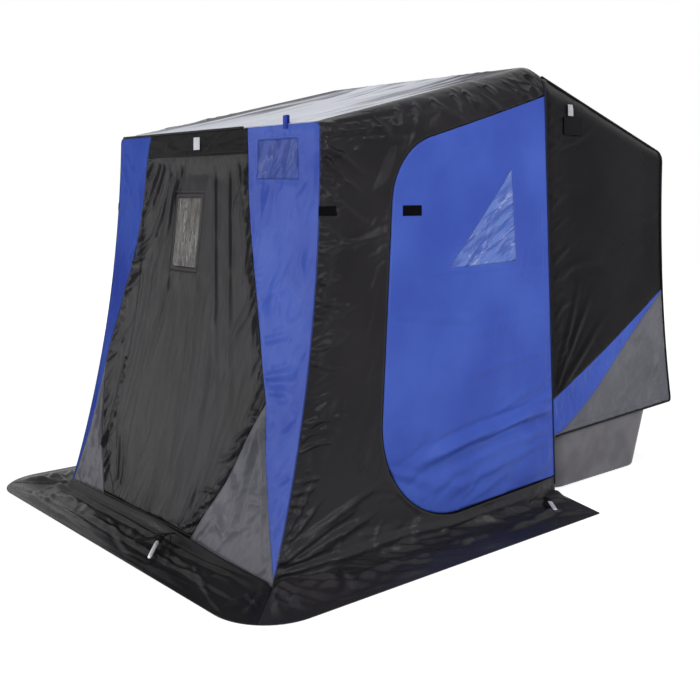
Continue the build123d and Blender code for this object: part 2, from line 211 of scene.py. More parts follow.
for name, place, width, power in (
    ("left_softbox", (-7.4, -9.2, 1.4), 2.0, 345.0),
    ("front_softbox", (2.6, -6.6, 4.0), 1.5, 190.0),
    ("side_softbox", (6.0, 0.6, 3.8), 1.1, 215.0),
    ("top_softbox", (-1.0, 0.6, 5.6), 2.0, 46.0),
):
    lamp = bpy.data.lights.new(name, "AREA")
    lamp.size = width
    lamp.energy = power
    softbox = placed(name, lamp)
    softbox.location = place
    aim = Vector((0, 0, 0.9)) - Vector(place)
    softbox.rotation_euler = aim.to_track_quat("-Z", "Y").to_euler()

# --- Side front panels ------------------------------------------------------------------------
# Black coated nylon on each side, between the front corner and the D-shaped doorway: cut flat
# to its outline, sewn to its neighbours, and rucked in folds that leave the corner and the eave.

# The cloth is stretched straight over three leaning steel bows and rounds each bow's top
# corners. Each bow here is its foot, its head and the radius of the corner between them.
front_bow = ((0.868, 0.0, 0.0), (0.782, 0.309, 1.737), 0.030)
peak_bow = ((0.857, 1.730, 0.0), (0.815, 1.592, 2.045), 0.150)
rear_bow = ((0.862, 2.725, 0.340), (0.799, 2.615, 1.702), 0.075)
front_hollow, under_ice, skirt_ahead = 0.066, -0.05, 0.292
origin_y = -(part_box("skirt_front")[0].y + skirt_ahead)


class Bow:
    """The cloth's line over one bow: 0 to 1 up the wall, to 2 round the corner, to 3 inward."""

    def __init__(self, foot, head, radius):
        foot, head = np.array(foot), np.array(head)
        self.foot = foot + (head - foot) * (under_ice - foot[2]) / (head[2] - foot[2])
        down = (foot - head) / np.linalg.norm(foot - head)
        inward = np.array((-1.0, 0.0, 0.0))
        half = math.acos(float(down @ inward)) / 2
        middle = (down + inward) / np.linalg.norm(down + inward)
        self.shoulder = head + down * radius / math.tan(half)
        self.brow = head + inward * radius / math.tan(half)
        self.centre = head + middle * radius / math.sin(half)
        self.turn = math.pi - 2 * half
        self.ridge = np.array((0.0, head[1], head[2]))

    def at(self, run):
        run = np.asarray(run)[..., None]
        wall = self.foot + np.minimum(run, 1) * (self.shoulder - self.foot)
        share = np.clip(run - 1, 0, 1) * self.turn
        arc = self.centre + (
            np.sin(self.turn - share) * (self.shoulder - self.centre)
            + np.sin(share) * (self.brow - self.centre)
        ) / math.sin(self.turn)
        roof = self.brow + np.clip(run - 2, 0, 1) * (self.ridge - self.brow)
        return np.where(run < 1, wall, np.where(run < 2, arc, roof))


bows = [Bow(*front_bow), Bow(*peak_bow), Bow(*rear_bow)]
wall_cut, corner_cut = 1.85, 0.2  # cut heights of the side cloth's wall and of its rounding
front_cut, rear_cut = 1.45, 1.06  # cut lengths of the side cloth before and behind the peak


def side_surface(a, b):
    """The right side's cloth: a runs back from the front bow, b up from under the ice."""
    a = np.asarray(a)
    share = np.where(a < front_cut, a / front_cut, 1 + (a - front_cut) / rear_cut)[..., None]
    run = np.where(b < wall_cut, b / wall_cut, 1 + (b - wall_cut) / corner_cut)
    front, peak, rear = (bow.at(run) for bow in bows)
    before = front + share * (peak - front)
    behind = peak + (share - 1) * (rear - peak)
    return np.where(share < 1, before, behind)


def hollow_of(foot, head, sag, facing):
    """Middle (Y, Z) and radius of the round that an end wall follows from foot to head."""
    foot, head = np.array(foot), np.array(head)
    chord = np.linalg.norm(head - foot)
    radius = chord**2 / (8 * sag) + sag / 2
    reach = (radius - sag) / chord * facing
    span = head - foot
    middle = (foot + head) / 2 + reach * np.array((span[1], -span[0]))
    return middle, radius


front_round = hollow_of(front_bow[0][1:], front_bow[1][1:], front_hollow, -1)


def front_wall_y(z):
    """The Y of the front wall at a height; its cut draws it in towards the middle."""
    middle, radius = front_round
    return middle[0] + np.sqrt(radius**2 - (z - middle[1]) ** 2)


fine_net, coarse_net = ((0.0078, 0.015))
cloth_thickness = 0.0012
cloth_inset = 0.0016  # the cloth's outer face lies this far under the body's surface
top_cut = wall_cut + corner_cut
cloth_foot = 0.0032


def walk(line, spacing):
    """A line's points at an even spacing, its corners kept."""
    line = np.asarray(line, float)
    points = []
    for start_point, end_point in zip(line, line[1:]):
        count = max(1, int(math.ceil(np.linalg.norm(end_point - start_point) / spacing)))
        share = np.arange(count)[:, None] / count
        points.append(start_point + share * (end_point - start_point))
    return np.vstack(points)


def thin(loop, spacing):
    """A closed line without the points that crowd each other; its corners always stay."""
    crowded, straight = 0.5 * spacing, 0.93
    loop = loop[np.linalg.norm(loop - np.roll(loop, 1, axis=0), axis=1) > 0.08 * spacing]
    ahead, back = np.roll(loop, -1, axis=0) - loop, loop - np.roll(loop, 1, axis=0)
    ahead /= np.linalg.norm(ahead, axis=1, keepdims=True) + 1e-12
    back /= np.linalg.norm(back, axis=1, keepdims=True) + 1e-12
    corner = (ahead * back).sum(1) < straight
    corners = loop[corner]
    kept = []
    for point, fixed in zip(loop, corner):
        crowds = kept and np.linalg.norm(point - kept[-1]) < crowded
        beside = len(corners) and np.linalg.norm(corners - point, axis=1).min() < crowded
        if fixed or not (crowds or beside):
            kept.append(point)
    return np.array(kept)


def cut_panel(name, outline, holes, spacing):
    """Nets a flat panel: points, triangles, and each point's gap to the edge and run along it."""
    loops = [
        thin(walk(np.vstack([loop, loop[:1]]), spacing), spacing)
        for loop in (outline, *holes)
    ]
    edge = np.vstack(loops)
    first, last = edge.min(0), edge.max(0)
    row_height, edge_clearance = spacing * 0.866, 0.55 * spacing
    rows = []
    for index, b in enumerate(np.arange(first[1] + spacing / 2, last[1], row_height)):
        crossings = []
        for loop in loops:
            p, q = loop, np.roll(loop, -1, axis=0)
            hit = (p[:, 1] <= b) != (q[:, 1] <= b)
            share = (b - p[hit, 1]) / (q[hit, 1] - p[hit, 1])
            crossings += list(p[hit, 0] + share * (q[hit, 0] - p[hit, 0]))
        crossings.sort()
        for low, high in zip(crossings[::2], crossings[1::2]):
            step = (index % 2) * spacing / 2
            a = np.arange(math.ceil((low - step) / spacing), (high - step) / spacing) * spacing
            rows.append(np.stack([a + step, np.full(len(a), b)], axis=-1))
    inner = np.vstack(rows)
    runs = np.concatenate([
        np.cumsum(np.linalg.norm(loop - np.roll(loop, 1, axis=0), axis=1)) for loop in loops
    ])
    gap, run = [], []
    for block in np.array_split(inner, max(1, len(inner) // 4000)):
        far = ((block[:, None, :] - edge[None, :, :]) ** 2).sum(-1)
        index = far.argmin(1)
        gap.append(np.sqrt(far[np.arange(len(block)), index]))
        run.append(runs[index])
    gap, run = np.concatenate(gap), np.concatenate(run)
    keep = gap > edge_clearance
    inner, gap, run = inner[keep], gap[keep], run[keep]
    edges, count = [], 0
    for loop in loops:
        ring = np.arange(len(loop)) + count
        edges += list(zip(ring.tolist(), np.roll(ring, -1).tolist()))
        count += len(loop)
    every = [Vector(p) for p in np.vstack([edge, inner])]
    verts, _, faces, *_ = geometry.delaunay_2d_cdt(every, edges, [], 1, 1e-6)
    if len(verts) != len(every):
        raise ValueError(f"{name}: the panel's outline crosses itself")
    faces = np.array(faces)
    middle = np.vstack([edge, inner])[faces].mean(1)
    inside = np.zeros(len(faces), int)
    for loop in loops:
        for p, q in zip(loop, np.roll(loop, -1, axis=0)):
            level = (p[1] <= middle[:, 1]) != (q[1] <= middle[:, 1])
            run_out = (middle[:, 1] - p[1]) / (q[1] - p[1] + 1e-12)
            inside += level & (middle[:, 0] < p[0] + run_out * (q[0] - p[0]))
    faces = faces[inside % 2 == 1]
    gap = np.concatenate([np.zeros(len(edge)), gap])
    run = np.concatenate([runs, run])
    return np.vstack([edge, inner]), faces, gap, run


lattice_rows, lattice_columns = 61, 67  # lumps after which the random unevenness repeats


def crumple(x, y, seed):
    """Smooth unevenness from -1 to 1, one lump to each unit of x and y."""
    lattice = np.random.RandomState(seed).uniform(-1, 1, (lattice_rows, lattice_columns))
    xi, yi = np.floor(x).astype(int), np.floor(y).astype(int)
    fx, fy = x - xi, y - yi
    fx, fy = (f**3 * (f * (f * 6 - 15) + 10) for f in (fx, fy))

    def corner(i, j):
        return lattice[(xi + i) % lattice_rows, (yi + j) % lattice_columns]

    low = corner(0, 0) * (1 - fx) + corner(1, 0) * fx
    high = corner(0, 1) * (1 - fx) + corner(1, 1) * fx
    return 1.6 * (low * (1 - fy) + high * fy)


def creases(x, y, angle, length, width, height, seed):
    """Sharp random creases that run one way, as in cloth pulled along that angle."""
    turn = math.radians(angle)
    along = (x * math.cos(turn) + y * math.sin(turn)) / length
    across = (y * math.cos(turn) - x * math.sin(turn)) / width
    across = across + 0.6 * crumple(along * 1.3 + 7, across * 0.4 + 3, seed + 1)
    ridge = 1 - 2 * np.abs(crumple(along, across, seed))
    finer = 1 - 2 * np.abs(crumple(along * 2.1 + 5, across * 2.3 + 9, seed + 2))
    patch = np.clip(0.55 + 0.8 * crumple(along * 0.7 + 2, across * 0.25 + 8, seed + 3), 0, 1)
    return height * patch * (0.7 * ridge + 0.3 * finer)


def facets(x, y, angle, length, width, height, seed):
    """Flat facets that meet in sharp creases, longer along the angle, as in stiff coated cloth."""
    turn = math.radians(angle)
    total = 0
    for share, size in ((0.68, 1.0), (0.32, 0.46)):
        shift = np.random.RandomState(seed).uniform(0, 1, (lattice_rows, lattice_columns, 3))
        u = (x * math.cos(turn) + y * math.sin(turn)) / (length * size)
        v = (y * math.cos(turn) - x * math.sin(turn)) / (width * size)
        bend_u, bend_v = crumple(u * 0.9, v * 0.7, seed + 6), crumple(v * 0.8, u, seed + 7)
        u, v = u + 0.3 * bend_u, v + 0.3 * bend_v
        i, j = np.floor(u).astype(int), np.floor(v).astype(int)
        far, rise = [], []
        for di, dj in ((di, dj) for di in (-1, 0, 1) for dj in (-1, 0, 1)):
            spot = shift[(i + di) % lattice_rows, (j + dj) % lattice_columns]
            far.append((u - i - di - spot[:, 0]) ** 2 + (v - j - dj - spot[:, 1]) ** 2)
            rise.append(spot[:, 2])
        order = np.argsort(far, axis=0)[:2]
        first, second = np.take_along_axis(np.array(far), order, axis=0)
        rise = np.take_along_axis(np.array(rise), order[:1], axis=0)[0]
        total = total + share * (second - first) * (2.6 * rise - 1.0)
        seed += 31
    return height * total


def lay_folds(x, y, folds, fade=(0.08, 0.7)):
    """Folds, each from a start to an end with a width, a height and a bow: crisp ridges with a
    shallow valley on each side, that rise quickly at the start and run out at the end."""
    lift = np.zeros(len(x))
    for start_point, end_point, width, height, *bow in folds:
        p, q = np.array(start_point), np.array(end_point)
        length = np.linalg.norm(q - p)
        span = (q - p) / length
        room = 3.2 * width + (abs(bow[0]) if bow else 0)
        near = (
            (x > min(p[0], q[0]) - room) & (x < max(p[0], q[0]) + room)
            & (y > min(p[1], q[1]) - room) & (y < max(p[1], q[1]) + room)
        )
        dx, dy = x[near] - p[0], y[near] - p[1]
        along = (dx * span[0] + dy * span[1]) / length
        across = dy * span[0] - dx * span[1] - (bow[0] if bow else 0) * 4 * along * (1 - along)
        inside = np.clip(along, 0, 1)
        taper = np.clip(inside / fade[0], 0, 1) * np.clip((1 - inside) / fade[1], 0, 1)
        taper = taper * taper * (3 - 2 * taper) * ((along > 0) & (along < 1))
        u = np.abs(across) / (width * (0.75 + 0.5 * inside))
        ridge = np.exp(-(u**1.4)) - 0.32 * np.exp(-(((u - 1.7) / 0.7) ** 2))
        lift[near] += height * taper * ridge
    return lift


def seam_folds(line, lean, length, width, height, pitch, seed):
    """Folds that leave a seam at an angle to its run, unevenly spaced and sized."""
    draw = np.random.RandomState(seed)
    line = np.asarray(line, float)
    run = np.concatenate([[0], np.cumsum(np.linalg.norm(np.diff(line, axis=0), axis=1))])

    def on_line(at):
        return np.array([np.interp(at, run, line[:, axis]) for axis in (0, 1)])

    folds, at = [], pitch * draw.rand()
    while at < run[-1]:
        point, ahead = on_line(at), on_line(at + 0.004) - on_line(at - 0.004)
        heading = math.atan2(ahead[1], ahead[0]) + math.radians(lean + 30 * (draw.rand() - 0.5))
        away = np.array((math.cos(heading), math.sin(heading)))
        reach = length * (0.35 + 1.2 * draw.rand() ** 1.5)
        folds.append((
            point + 0.002 * away, point + reach * away, width * (0.6 + 0.8 * draw.rand()),
            height * (0.35 + 1.1 * draw.rand()), 0.25 * reach * (draw.rand() - 0.5),
        ))
        at += pitch * (0.4 + 1.2 * draw.rand())
    return folds


def settle(gap, reach):
    """0 at a seam, 1 further in than reach."""
    share = np.clip(gap / reach, 0, 1)
    return share * share * (3 - 2 * share)


def mesh_piece(name, points, faces, finish, cut=None):
    """A mesh object with smooth faces; cut is its flat pattern in metres, kept as its UVs."""
    mesh = bpy.data.meshes.new(name)
    mesh.from_pydata([tuple(p) for p in points], [], [tuple(f) for f in faces])
    mesh.polygons.foreach_set("use_smooth", [True] * len(mesh.polygons))
    if cut is not None:
        layer = mesh.uv_layers.new(name="cut")
        index = np.zeros(len(mesh.loops), int)
        mesh.loops.foreach_get("vertex_index", index)
        layer.data.foreach_set("uv", np.asarray(cut, np.float32)[index].ravel())
    mesh.materials.append(finish)
    mesh.validate()
    return placed(name, mesh)


def least_rectangle(points):
    """Sides of the smallest rectangle of cloth that the panel is cut from."""
    hem_share = 1.02
    centred = points - points.mean(0)
    axes = np.linalg.svd(centred, full_matrices=False)[2][:2]
    flat = centred @ axes.T
    best = None
    for degrees in range(0, 90, 3):
        turn = math.radians(degrees)
        spin = np.array(((math.cos(turn), -math.sin(turn)), (math.sin(turn), math.cos(turn))))
        size = np.ptp(flat @ spin, axis=0)
        if best is None or size.prod() < best.prod():
            best = size
    return best * hem_share


def in_place(points):
    """Points of the hut's drawing frame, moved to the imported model's."""
    return np.asarray(points, float) - (0, origin_y, 0)


def face_out(points, faces, normals):
    """The triangles, turned round where they face against their first point's normal."""
    first, second, third = (points[faces[:, corner]] for corner in range(3))
    turned = (np.cross(second - first, third - first) * normals[faces[:, 0]]).sum(1) < 0
    faces[turned] = faces[turned][:, ::-1]
    return faces


def thicken(piece, name, thickness, offset=-1.0):
    shell = piece.modifiers.new(name, "SOLIDIFY")
    shell.thickness, shell.offset = thickness, offset


panels = {}


def lay_cloth(name, surface, outline, drape, finish, spacing, body="hut", holes=(),
              mirrored=False, inset=cloth_inset, thickness=cloth_thickness):
    """Cuts a panel, lays it on the body and drapes it; gives the piece and its flat size."""
    flat, faces, gap, run = cut_panel(name, np.asarray(outline, float), holes, spacing)
    a, b = flat.T
    small = 1e-4
    rest = surface(a, b)
    along = surface(a + small, b) - surface(a - small, b)
    up = surface(a, b + small) - surface(a, b - small)
    normal = np.cross(along, up)
    normal = normal / np.linalg.norm(normal, axis=1, keepdims=True)
    points = rest + normal * (drape(rest, gap, run) - inset)[:, None]
    first, second, third = (rest[faces[:, corner]] for corner in range(3))
    area = np.linalg.norm(np.cross(second - first, third - first), axis=1).sum() / 2
    faces = face_out(points, faces, normal)
    if mirrored:
        points, faces = points * (-1, 1, 1), faces[:, ::-1]
    points = in_place(points)
    piece = mesh_piece(name, points, faces, finish, flat)
    thicken(piece, "cloth_thickness", thickness)
    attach(piece, body)
    panels[name] = BVHTree.FromPolygons(points.tolist(), faces.tolist())
    return piece, least_rectangle(rest), area


def sew(name, surface, outline, drape, finish, spacing, slot, node=None, held="stretched",
        rests_on=("peak_bow_legs",), **cut):
    """A whole panel of the tent, which stands for its node: the node's own part is hidden."""
    piece, (width, length), area = lay_cloth(
        name, surface, outline, drape, finish, spacing, **cut
    )
    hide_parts(node or name.rsplit("_", 1)[0])
    return piece


def side_cut(y, z):
    """Where on the side's cut the wall has that Y and Z."""
    y, z = np.atleast_1d(y).astype(float), np.atleast_1d(z).astype(float)
    a, b = y * 0.9, z.copy()
    small = 1e-5
    for _ in range(14):
        here = side_surface(a, b)[:, 1:]
        along = (side_surface(a + small, b)[:, 1:] - here) / small
        up = (side_surface(a, b + small)[:, 1:] - here) / small
        miss = np.stack([y, z], axis=-1) - here
        area = along[:, 0] * up[:, 1] - along[:, 1] * up[:, 0]
        a = a + (miss[:, 0] * up[:, 1] - miss[:, 1] * up[:, 0]) / area
        b = b + (along[:, 0] * miss[:, 1] - along[:, 1] * miss[:, 0]) / area
    return np.stack([a, b], axis=-1)


def end_cut(wall_y, b, a):
    """The side cloth's edge on an end wall, at each height b of its cut."""
    a = np.full(np.shape(b), float(a))
    small = 1e-5
    for _ in range(12):
        here = side_surface(a, b)
        slope = (side_surface(a + small, b)[:, 1] - here[:, 1]) / small
        a = a + (wall_y(here[:, 2]) - here[:, 1]) / slope
    return np.stack([a, b], axis=-1)


def height_cut(a, z):
    """The height of the side's cut at which the wall reaches z, for each a."""
    a = np.atleast_1d(a).astype(float)
    b = np.full(len(a), float(np.mean(z)) + 0.05)
    for _ in range(12):
        here = side_surface(a, b)[:, 2]
        rise = (side_surface(a, b + 1e-5)[:, 2] - here) / 1e-5
        b = b + (z - here) / rise
    return np.stack([a, b], axis=-1)


def rounded(corners, radii, steps):
    """A line through corners, with the inner ones rounded."""
    corners = [np.array(c, float) for c in corners]
    line = [corners[0]]
    for before, corner, after, radius in zip(corners, corners[1:], corners[2:], radii):
        back = (before - corner) / np.linalg.norm(before - corner)
        on = (after - corner) / np.linalg.norm(after - corner)
        half = math.acos(float(back @ on)) / 2
        first, last = (corner + way * radius / math.tan(half) for way in (back, on))
        middle = corner + (back + on) / np.linalg.norm(back + on) * radius / math.sin(half)
        turn = math.pi - 2 * half
        for share in np.linspace(0, turn, steps):
            swing = math.sin(turn - share) * (first - middle) + math.sin(share) * (last - middle)
            line.append(middle + swing / math.sin(turn))
    return np.array([*line, corners[-1]])


def seam_y(z):
    """The Y of the side seam, which follows the peak bow."""
    (_, foot_y, _), (_, head_y, head_z), _ = peak_bow
    return foot_y + (head_y - foot_y) * z / head_z


def grown(line, distance):
    """The open line moved to its left by a distance."""
    along = np.gradient(line, axis=0)
    along /= np.linalg.norm(along, axis=1, keepdims=True)
    return line + np.stack([-along[:, 1], along[:, 0]], axis=-1) * distance


door_high, door_low, door_gap = 1.905, 0.105, 0.005
door_radii = (0.300, 0.430)
door_corners = ((0.685, 1.640), (0.545, 0.062))
door_line = rounded(
    [(seam_y(door_high), door_high), *door_corners, (seam_y(door_low), door_low)], door_radii, 28
)
doorway_line = grown(door_line, -door_gap)
doorway_cut = side_cut(*doorway_line.T)
doorway_cut[[0, -1], 0] = front_cut
foot_b = height_cut([0.0], cloth_foot)[0, 1]
corner_b = np.append(np.linspace(foot_b, wall_cut, 40), np.linspace(wall_cut, top_cut, 6)[1:])
front_edge = end_cut(front_wall_y, corner_b, 0.05)
front_edge[0] = height_cut(front_edge[:1, 0], cloth_foot)[0]
foot_line = height_cut(np.linspace(front_edge[0, 0], front_cut, 30), cloth_foot)
front_panel_outline = np.vstack([
    front_edge, [(front_cut, top_cut)], doorway_cut, foot_line[::-1][:-1]
])
corner_z = np.linspace(0.02, 1.70, 60)
corner_profile = np.stack([front_wall_y(corner_z), corner_z], axis=-1)
eave_profile = np.array(((0.33, 1.715), (1.58, 2.02)))


def front_panel_drape(seed):
    """Pulled between the front corner, the eave and the doorway, and splayed at its foot."""
    folds = [
        *seam_folds(corner_profile, -76, 0.20, 0.011, 0.0060, 0.036, seed),
        *seam_folds(corner_profile, -62, 0.42, 0.018, 0.0055, 0.120, seed + 1),
        *seam_folds(doorway_line, 68, 0.10, 0.010, 0.0035, 0.040, seed + 2),
        *seam_folds(eave_profile, -58, 0.20, 0.018, 0.0070, 0.085, seed + 3),
        *seam_folds(eave_profile, -22, 0.36, 0.020, 0.0060, 0.160, seed + 4),
        ((0.33, 1.69), (0.88, 1.76), 0.020, 0.013), ((0.33, 1.66), (0.80, 1.70), 0.014, 0.010),
        ((0.32, 1.66), (0.60, 1.50), 0.018, 0.013), ((0.32, 1.60), (0.58, 1.42), 0.016, 0.011),
        ((0.30, 1.50), (0.62, 1.28), 0.022, 0.007), ((0.28, 1.36), (0.56, 1.20), 0.016, 0.005),
        ((0.02, 0.10), (0.62, 0.31), 0.022, 0.024), ((0.02, 0.09), (0.57, 0.245), 0.015, 0.017),
        ((0.03, 0.08), (0.64, 0.185), 0.018, 0.020), ((0.04, 0.07), (0.45, 0.12), 0.014, 0.014),
        ((0.03, 0.12), (0.36, 0.36), 0.016, 0.014), ((0.05, 0.16), (0.32, 0.48), 0.014, 0.011),
        ((0.03, 0.05), (0.80, 0.045), 0.014, 0.010), ((0.50, 0.06), (1.20, 0.03), 0.014, 0.008),
        ((0.90, 0.035), (1.68, 0.05), 0.013, 0.008),
    ]
    deepest, splay, splay_top = 0.0045, 0.034, 0.17

    def drape(rest, gap, run):
        y, z = rest[:, 1], rest[:, 2]
        low = np.clip((0.55 - z) / 0.45, 0, 1)
        lift = -0.007 * settle(gap, 0.16)
        lift = lift + creases(y, z, -12, 0.34, 0.060, 0.0022, seed) * settle(gap, 0.03)
        crush = 0.0085 + 0.010 * low
        lift = lift + facets(y, z, 58, 0.34, 0.12, crush, seed + 20) * settle(gap, 0.04)
        lift = lift + lay_folds(y, z, folds, (0.06, 0.55)) * settle(gap, 0.012)
        aside = settle(y - front_wall_y(z), 0.14) * settle(seam_y(z) - y, 0.16)
        lift = lift + splay * aside * np.clip((splay_top - z) / splay_top, 0, 1) ** 1.6
        return np.maximum(lift, -deepest)
    return drape


def paint(code):
    """A colour chart's code as the linear colour that the shaders take."""
    channels = [int(code[i : i + 2], 16) / 255 for i in (0, 2, 4)]
    linear = [c / 12.92 if c <= 0.04045 else ((c + 0.055) / 1.055) ** 2.4 for c in channels]
    return (*linear, 1.0)


def cloth_finish(name, deep, pale, roughness, gloss=0.3, rumple=0.3, fade=None, painted_sheen=None):
    """Coated nylon: a fine plain weave under a soft gloss, its colour a little uneven where the
    coating pools. fade darkens it to a colour back along the hut and out to its sides, in
    streaks: painted shade. The last option pales its foot with a painted sheen."""
    material = bpy.data.materials.new(name)
    start = bare(material)
    weave, weave_height, rumple_height = 0.0016, 0.035, 0.003
    place = start.node("ShaderNodeTexCoord", outlet="Object")
    cut = start.node("ShaderNodeUVMap", {"uv_map": "cut"})
    threads = (cut.axis(0) * (2 * math.pi / weave)).sine()
    threads = threads * (cut.axis(1) * (2 * math.pi / weave)).sine()
    cloud = place.noise(2.3, 3.0)
    colour = (cloud.clear_of(0.3, 0.7) * 0.7 + threads * 0.12 + 0.15).tint(paint(deep), paint(pale))
    # Painted shade: the colour darkens back along the hut and out to its sides, in streaks.
    if fade:
        shade_colour, first, last = fade
        lengthwise = start.node(
            "ShaderNodeMapping", sockets={"Vector": place, "Scale": (9.0, 0.7, 1.0)}
        )
        streaks = lengthwise.noise(1.0, 4.0).clear_of(0.35, 0.65)
        painted_shade = place.axis(1) + abs(place.axis(0)) * 1.3 + streaks * 0.9 - 0.98
        colour = (painted_shade.clear_of(first, last) * 0.96).tint(colour, paint(shade_colour))
    # Painted sheen: the colour pales towards the foot, where the cloth catches more light.
    if painted_sheen:
        sheen_colour, reach = painted_sheen
        uneven = place.axis(2) + cloud * 0.3 - 0.15
        colour = (1 - uneven.clear_of(0.0, reach)).tint(colour, paint(sheen_colour))
    rumples = place.noise(26.0, 4.0, Roughness=0.55, Distortion=0.8)
    start.node(
        "ShaderNodeBsdfPrincipled",
        sockets={
            "Base Color": colour,
            "Roughness": cloud * 0.10 + (roughness - 0.05),
            "Specular IOR Level": gloss,
            "Normal": (rumples * rumple + threads * weave_height).relief(rumple_height, 0.6),
        },
    ).shown()
    return material


# Its foot is painted paler: a painted sheen where the splayed foot catches the light.
folded_nylon = cloth_finish("folded_nylon", "131114", "201E22", 0.25, gloss=0.088, rumple=0.4,
                            painted_sheen=("2A2A2D", 0.65))
sides = (("right", False, fine_net, 3, "side_door"), ("left", True, coarse_net, 203, "hut"))
for side, mirrored, net, seed, _ in sides:
    sew(f"side_front_panel_{side}_cloth", side_surface, front_panel_outline,
        front_panel_drape(seed), folded_nylon, net, "black_cloth", mirrored=mirrored)

# --- Side doors -------------------------------------------------------------------------------
# Blue nylon doors, each with a three-cornered window of slack film. The right one swings on
# the cord in the side seam; the left one stays zipped shut.
hinge_gap = 0.004
door_cut = side_cut(*door_line.T)
door_cut[[0, -1], 0] = front_cut - hinge_gap
window_corners = np.array(((1380, 1572), (984, 1154), (1417, 1167))) / 1000
window_cut = side_cut(*window_corners.T)


def gathers(gap, run, pitch, height, reach, seed):
    """Puckers at a sewn edge: short waves across the seam that die away into the panel."""
    phase = run / pitch + 0.8 * crumple(run / pitch * 0.31, gap * 9, seed)
    wave = np.sin(2 * math.pi * phase) + 0.4 * np.sin(4.6 * math.pi * phase + 1)
    uneven = np.clip(0.6 + 0.7 * crumple(run * 5 + 11, gap * 6, seed + 4), 0, 1.3)
    rise = np.clip(gap / 0.012, 0, 1)
    return height * uneven * wave * rise * np.exp(-gap / reach)


def door_drape(seed):
    """Hangs flat from its hem; one long fold crosses its foot, where the base bow pushes out."""
    folds = [
        *seam_folds(door_line, -75, 0.085, 0.010, 0.0028, 0.045, seed),
        *seam_folds(door_line[::-1][:34], 60, 0.22, 0.014, 0.0075, 0.060, seed + 1),
        ((1.71, 0.45), (0.62, 0.29), 0.026, 0.026, -0.03),
        ((1.71, 0.39), (0.70, 0.23), 0.026, -0.014, -0.03),
        ((1.71, 0.52), (1.05, 0.32), 0.020, 0.012),
        ((1.50, 0.36), (0.80, 0.27), 0.016, 0.008, -0.02),
        ((1.71, 0.30), (0.90, 0.16), 0.022, 0.007), ((0.60, 0.34), (0.95, 0.20), 0.020, 0.006),
        ((0.86, 1.139), (1.50, 1.139), 0.010, 0.004), ((1.64, 1.12), (1.20, 1.10), 0.012, 0.003),
        ((1.68, 0.74), (1.00, 0.66), 0.016, 0.005), ((1.70, 0.62), (1.16, 0.44), 0.018, 0.007),
        ((0.62, 0.98), (1.30, 0.90), 0.018, 0.004), ((1.66, 0.92), (0.98, 0.84), 0.020, 0.004),
    ]

    def drape(rest, gap, run):
        y, z = rest[:, 1], rest[:, 2]
        low = np.clip((0.75 - z) / 0.6, 0, 1)
        lift = -0.005 * settle(gap, 0.2)
        lift = lift + creases(y, z, 76, 0.5, 0.10, 0.0022, seed) * settle(gap, 0.06)
        lift = lift + creases(y, z, 12, 0.28, 0.07, 0.0030, seed + 9) * settle(gap, 0.05) * low
        crush = 0.0026 + 0.0095 * low
        lift = lift + facets(y, z, 20, 0.26, 0.10, crush, seed + 12) * settle(gap, 0.05)
        lift = lift + lay_folds(y, z, folds, (0.1, 0.35)) * settle(gap, 0.012)
        return np.minimum(lift, 0.25 * (seam_y(z) - y))
    return drape


def plain_drape(seed, angle, height, pucker=0.0014, crush=0.0):
    """Flat but for creases along the angle and the puckers of its seams."""
    def drape(rest, gap, run):
        y, z = rest[:, 1], rest[:, 2]
        lift = -0.003 * settle(gap, 0.1)
        lift = lift + creases(y, z, angle, 0.30, 0.05, height, seed) * settle(gap, 0.03)
        lift = lift + facets(y, z, angle + 15, 0.13, 0.06, crush, seed + 8) * settle(gap, 0.03)
        lift = lift + gathers(gap, run, 0.03, pucker, 0.03, seed)
        return np.minimum(lift, 0.12 * np.abs(y - seam_y(z)))
    return drape


def film_finish(name, deep, pale, alpha, lean, painted_glint, stretch=0.14, relief=0.7, roughness=0.16,
                gloss=0.35):
    """Window vinyl: glossy and slack, with long crinkles, and pale streaks painted along their
    ridges as glints.
    """
    material = bpy.data.materials.new(name)
    start = bare(material)
    stretched = start.node(
        "ShaderNodeMapping",
        {"vector_type": "TEXTURE"},
        {
            "Vector": start.node("ShaderNodeUVMap", {"uv_map": "cut"}),
            "Rotation": (0, 0, math.radians(lean)),
            "Scale": (1.0, stretch, 1.0),
        },
    )
    crinkle = stretched.noise(8.0, 4.0, Roughness=0.55, Distortion=0.35)
    ridge = 1 - abs(crinkle - 0.5) * 7
    # Painted glints: pale near-white streaks along the crinkles' ridges.
    line = ridge.clear_of(0.72, 1.0) * stretched.noise(3.0, 2.0).clear_of(0.45, 0.65)
    tone = crinkle.clear_of(0.35, 0.65).tint(paint(deep), paint(pale))
    start.node(
        "ShaderNodeBsdfPrincipled",
        sockets={
            "Base Color": (line * painted_glint).tint(tone, paint("D5DCEC")),
            "Roughness": roughness,
            "Specular IOR Level": gloss,
            "Alpha": alpha,
            "Normal": ridge.relief(0.004, relief),
        },
    ).shown()
    return material


blue_nylon = cloth_finish("blue_nylon", "34489C", "435CB1", 0.30, gloss=0.05, rumple=0.8)
pale_film = film_finish("pale_film", "3852A4", "5873BD", 0.95, 24, 0.45, 0.20, 0.8, gloss=0.25)
for side, mirrored, net, seed, door_body in sides:
    sew(f"side_door_{side}_cloth", side_surface, door_cut, door_drape(seed + 40), blue_nylon,
        net * 1.2, "blue_cloth", body=door_body, holes=(window_cut,), mirrored=mirrored)
    sew(f"side_door_window_{side}_film", side_surface, window_cut,
        plain_drape(seed + 60, 60, 0.003, 0.001), pale_film, net, "clear_film",
        body=door_body, mirrored=mirrored)

# --- Rear half of the sides -------------------------------------------------------------------
# Behind the doorway: black nylon drum tight over the sled, a blue stripe sewn across it, and
# below the stripe a grey panel that ends in the hem over the sled's rim.
rear_hollow = 0.045
rear_round = hollow_of(rear_bow[0][1:], rear_bow[1][1:], rear_hollow, 1)


def rear_wall_y(z):
    """The Y of the rear wall at a height, drawn in like the front wall."""
    middle, radius = rear_round
    return middle[0] - np.sqrt(radius**2 - (z - middle[1]) ** 2)


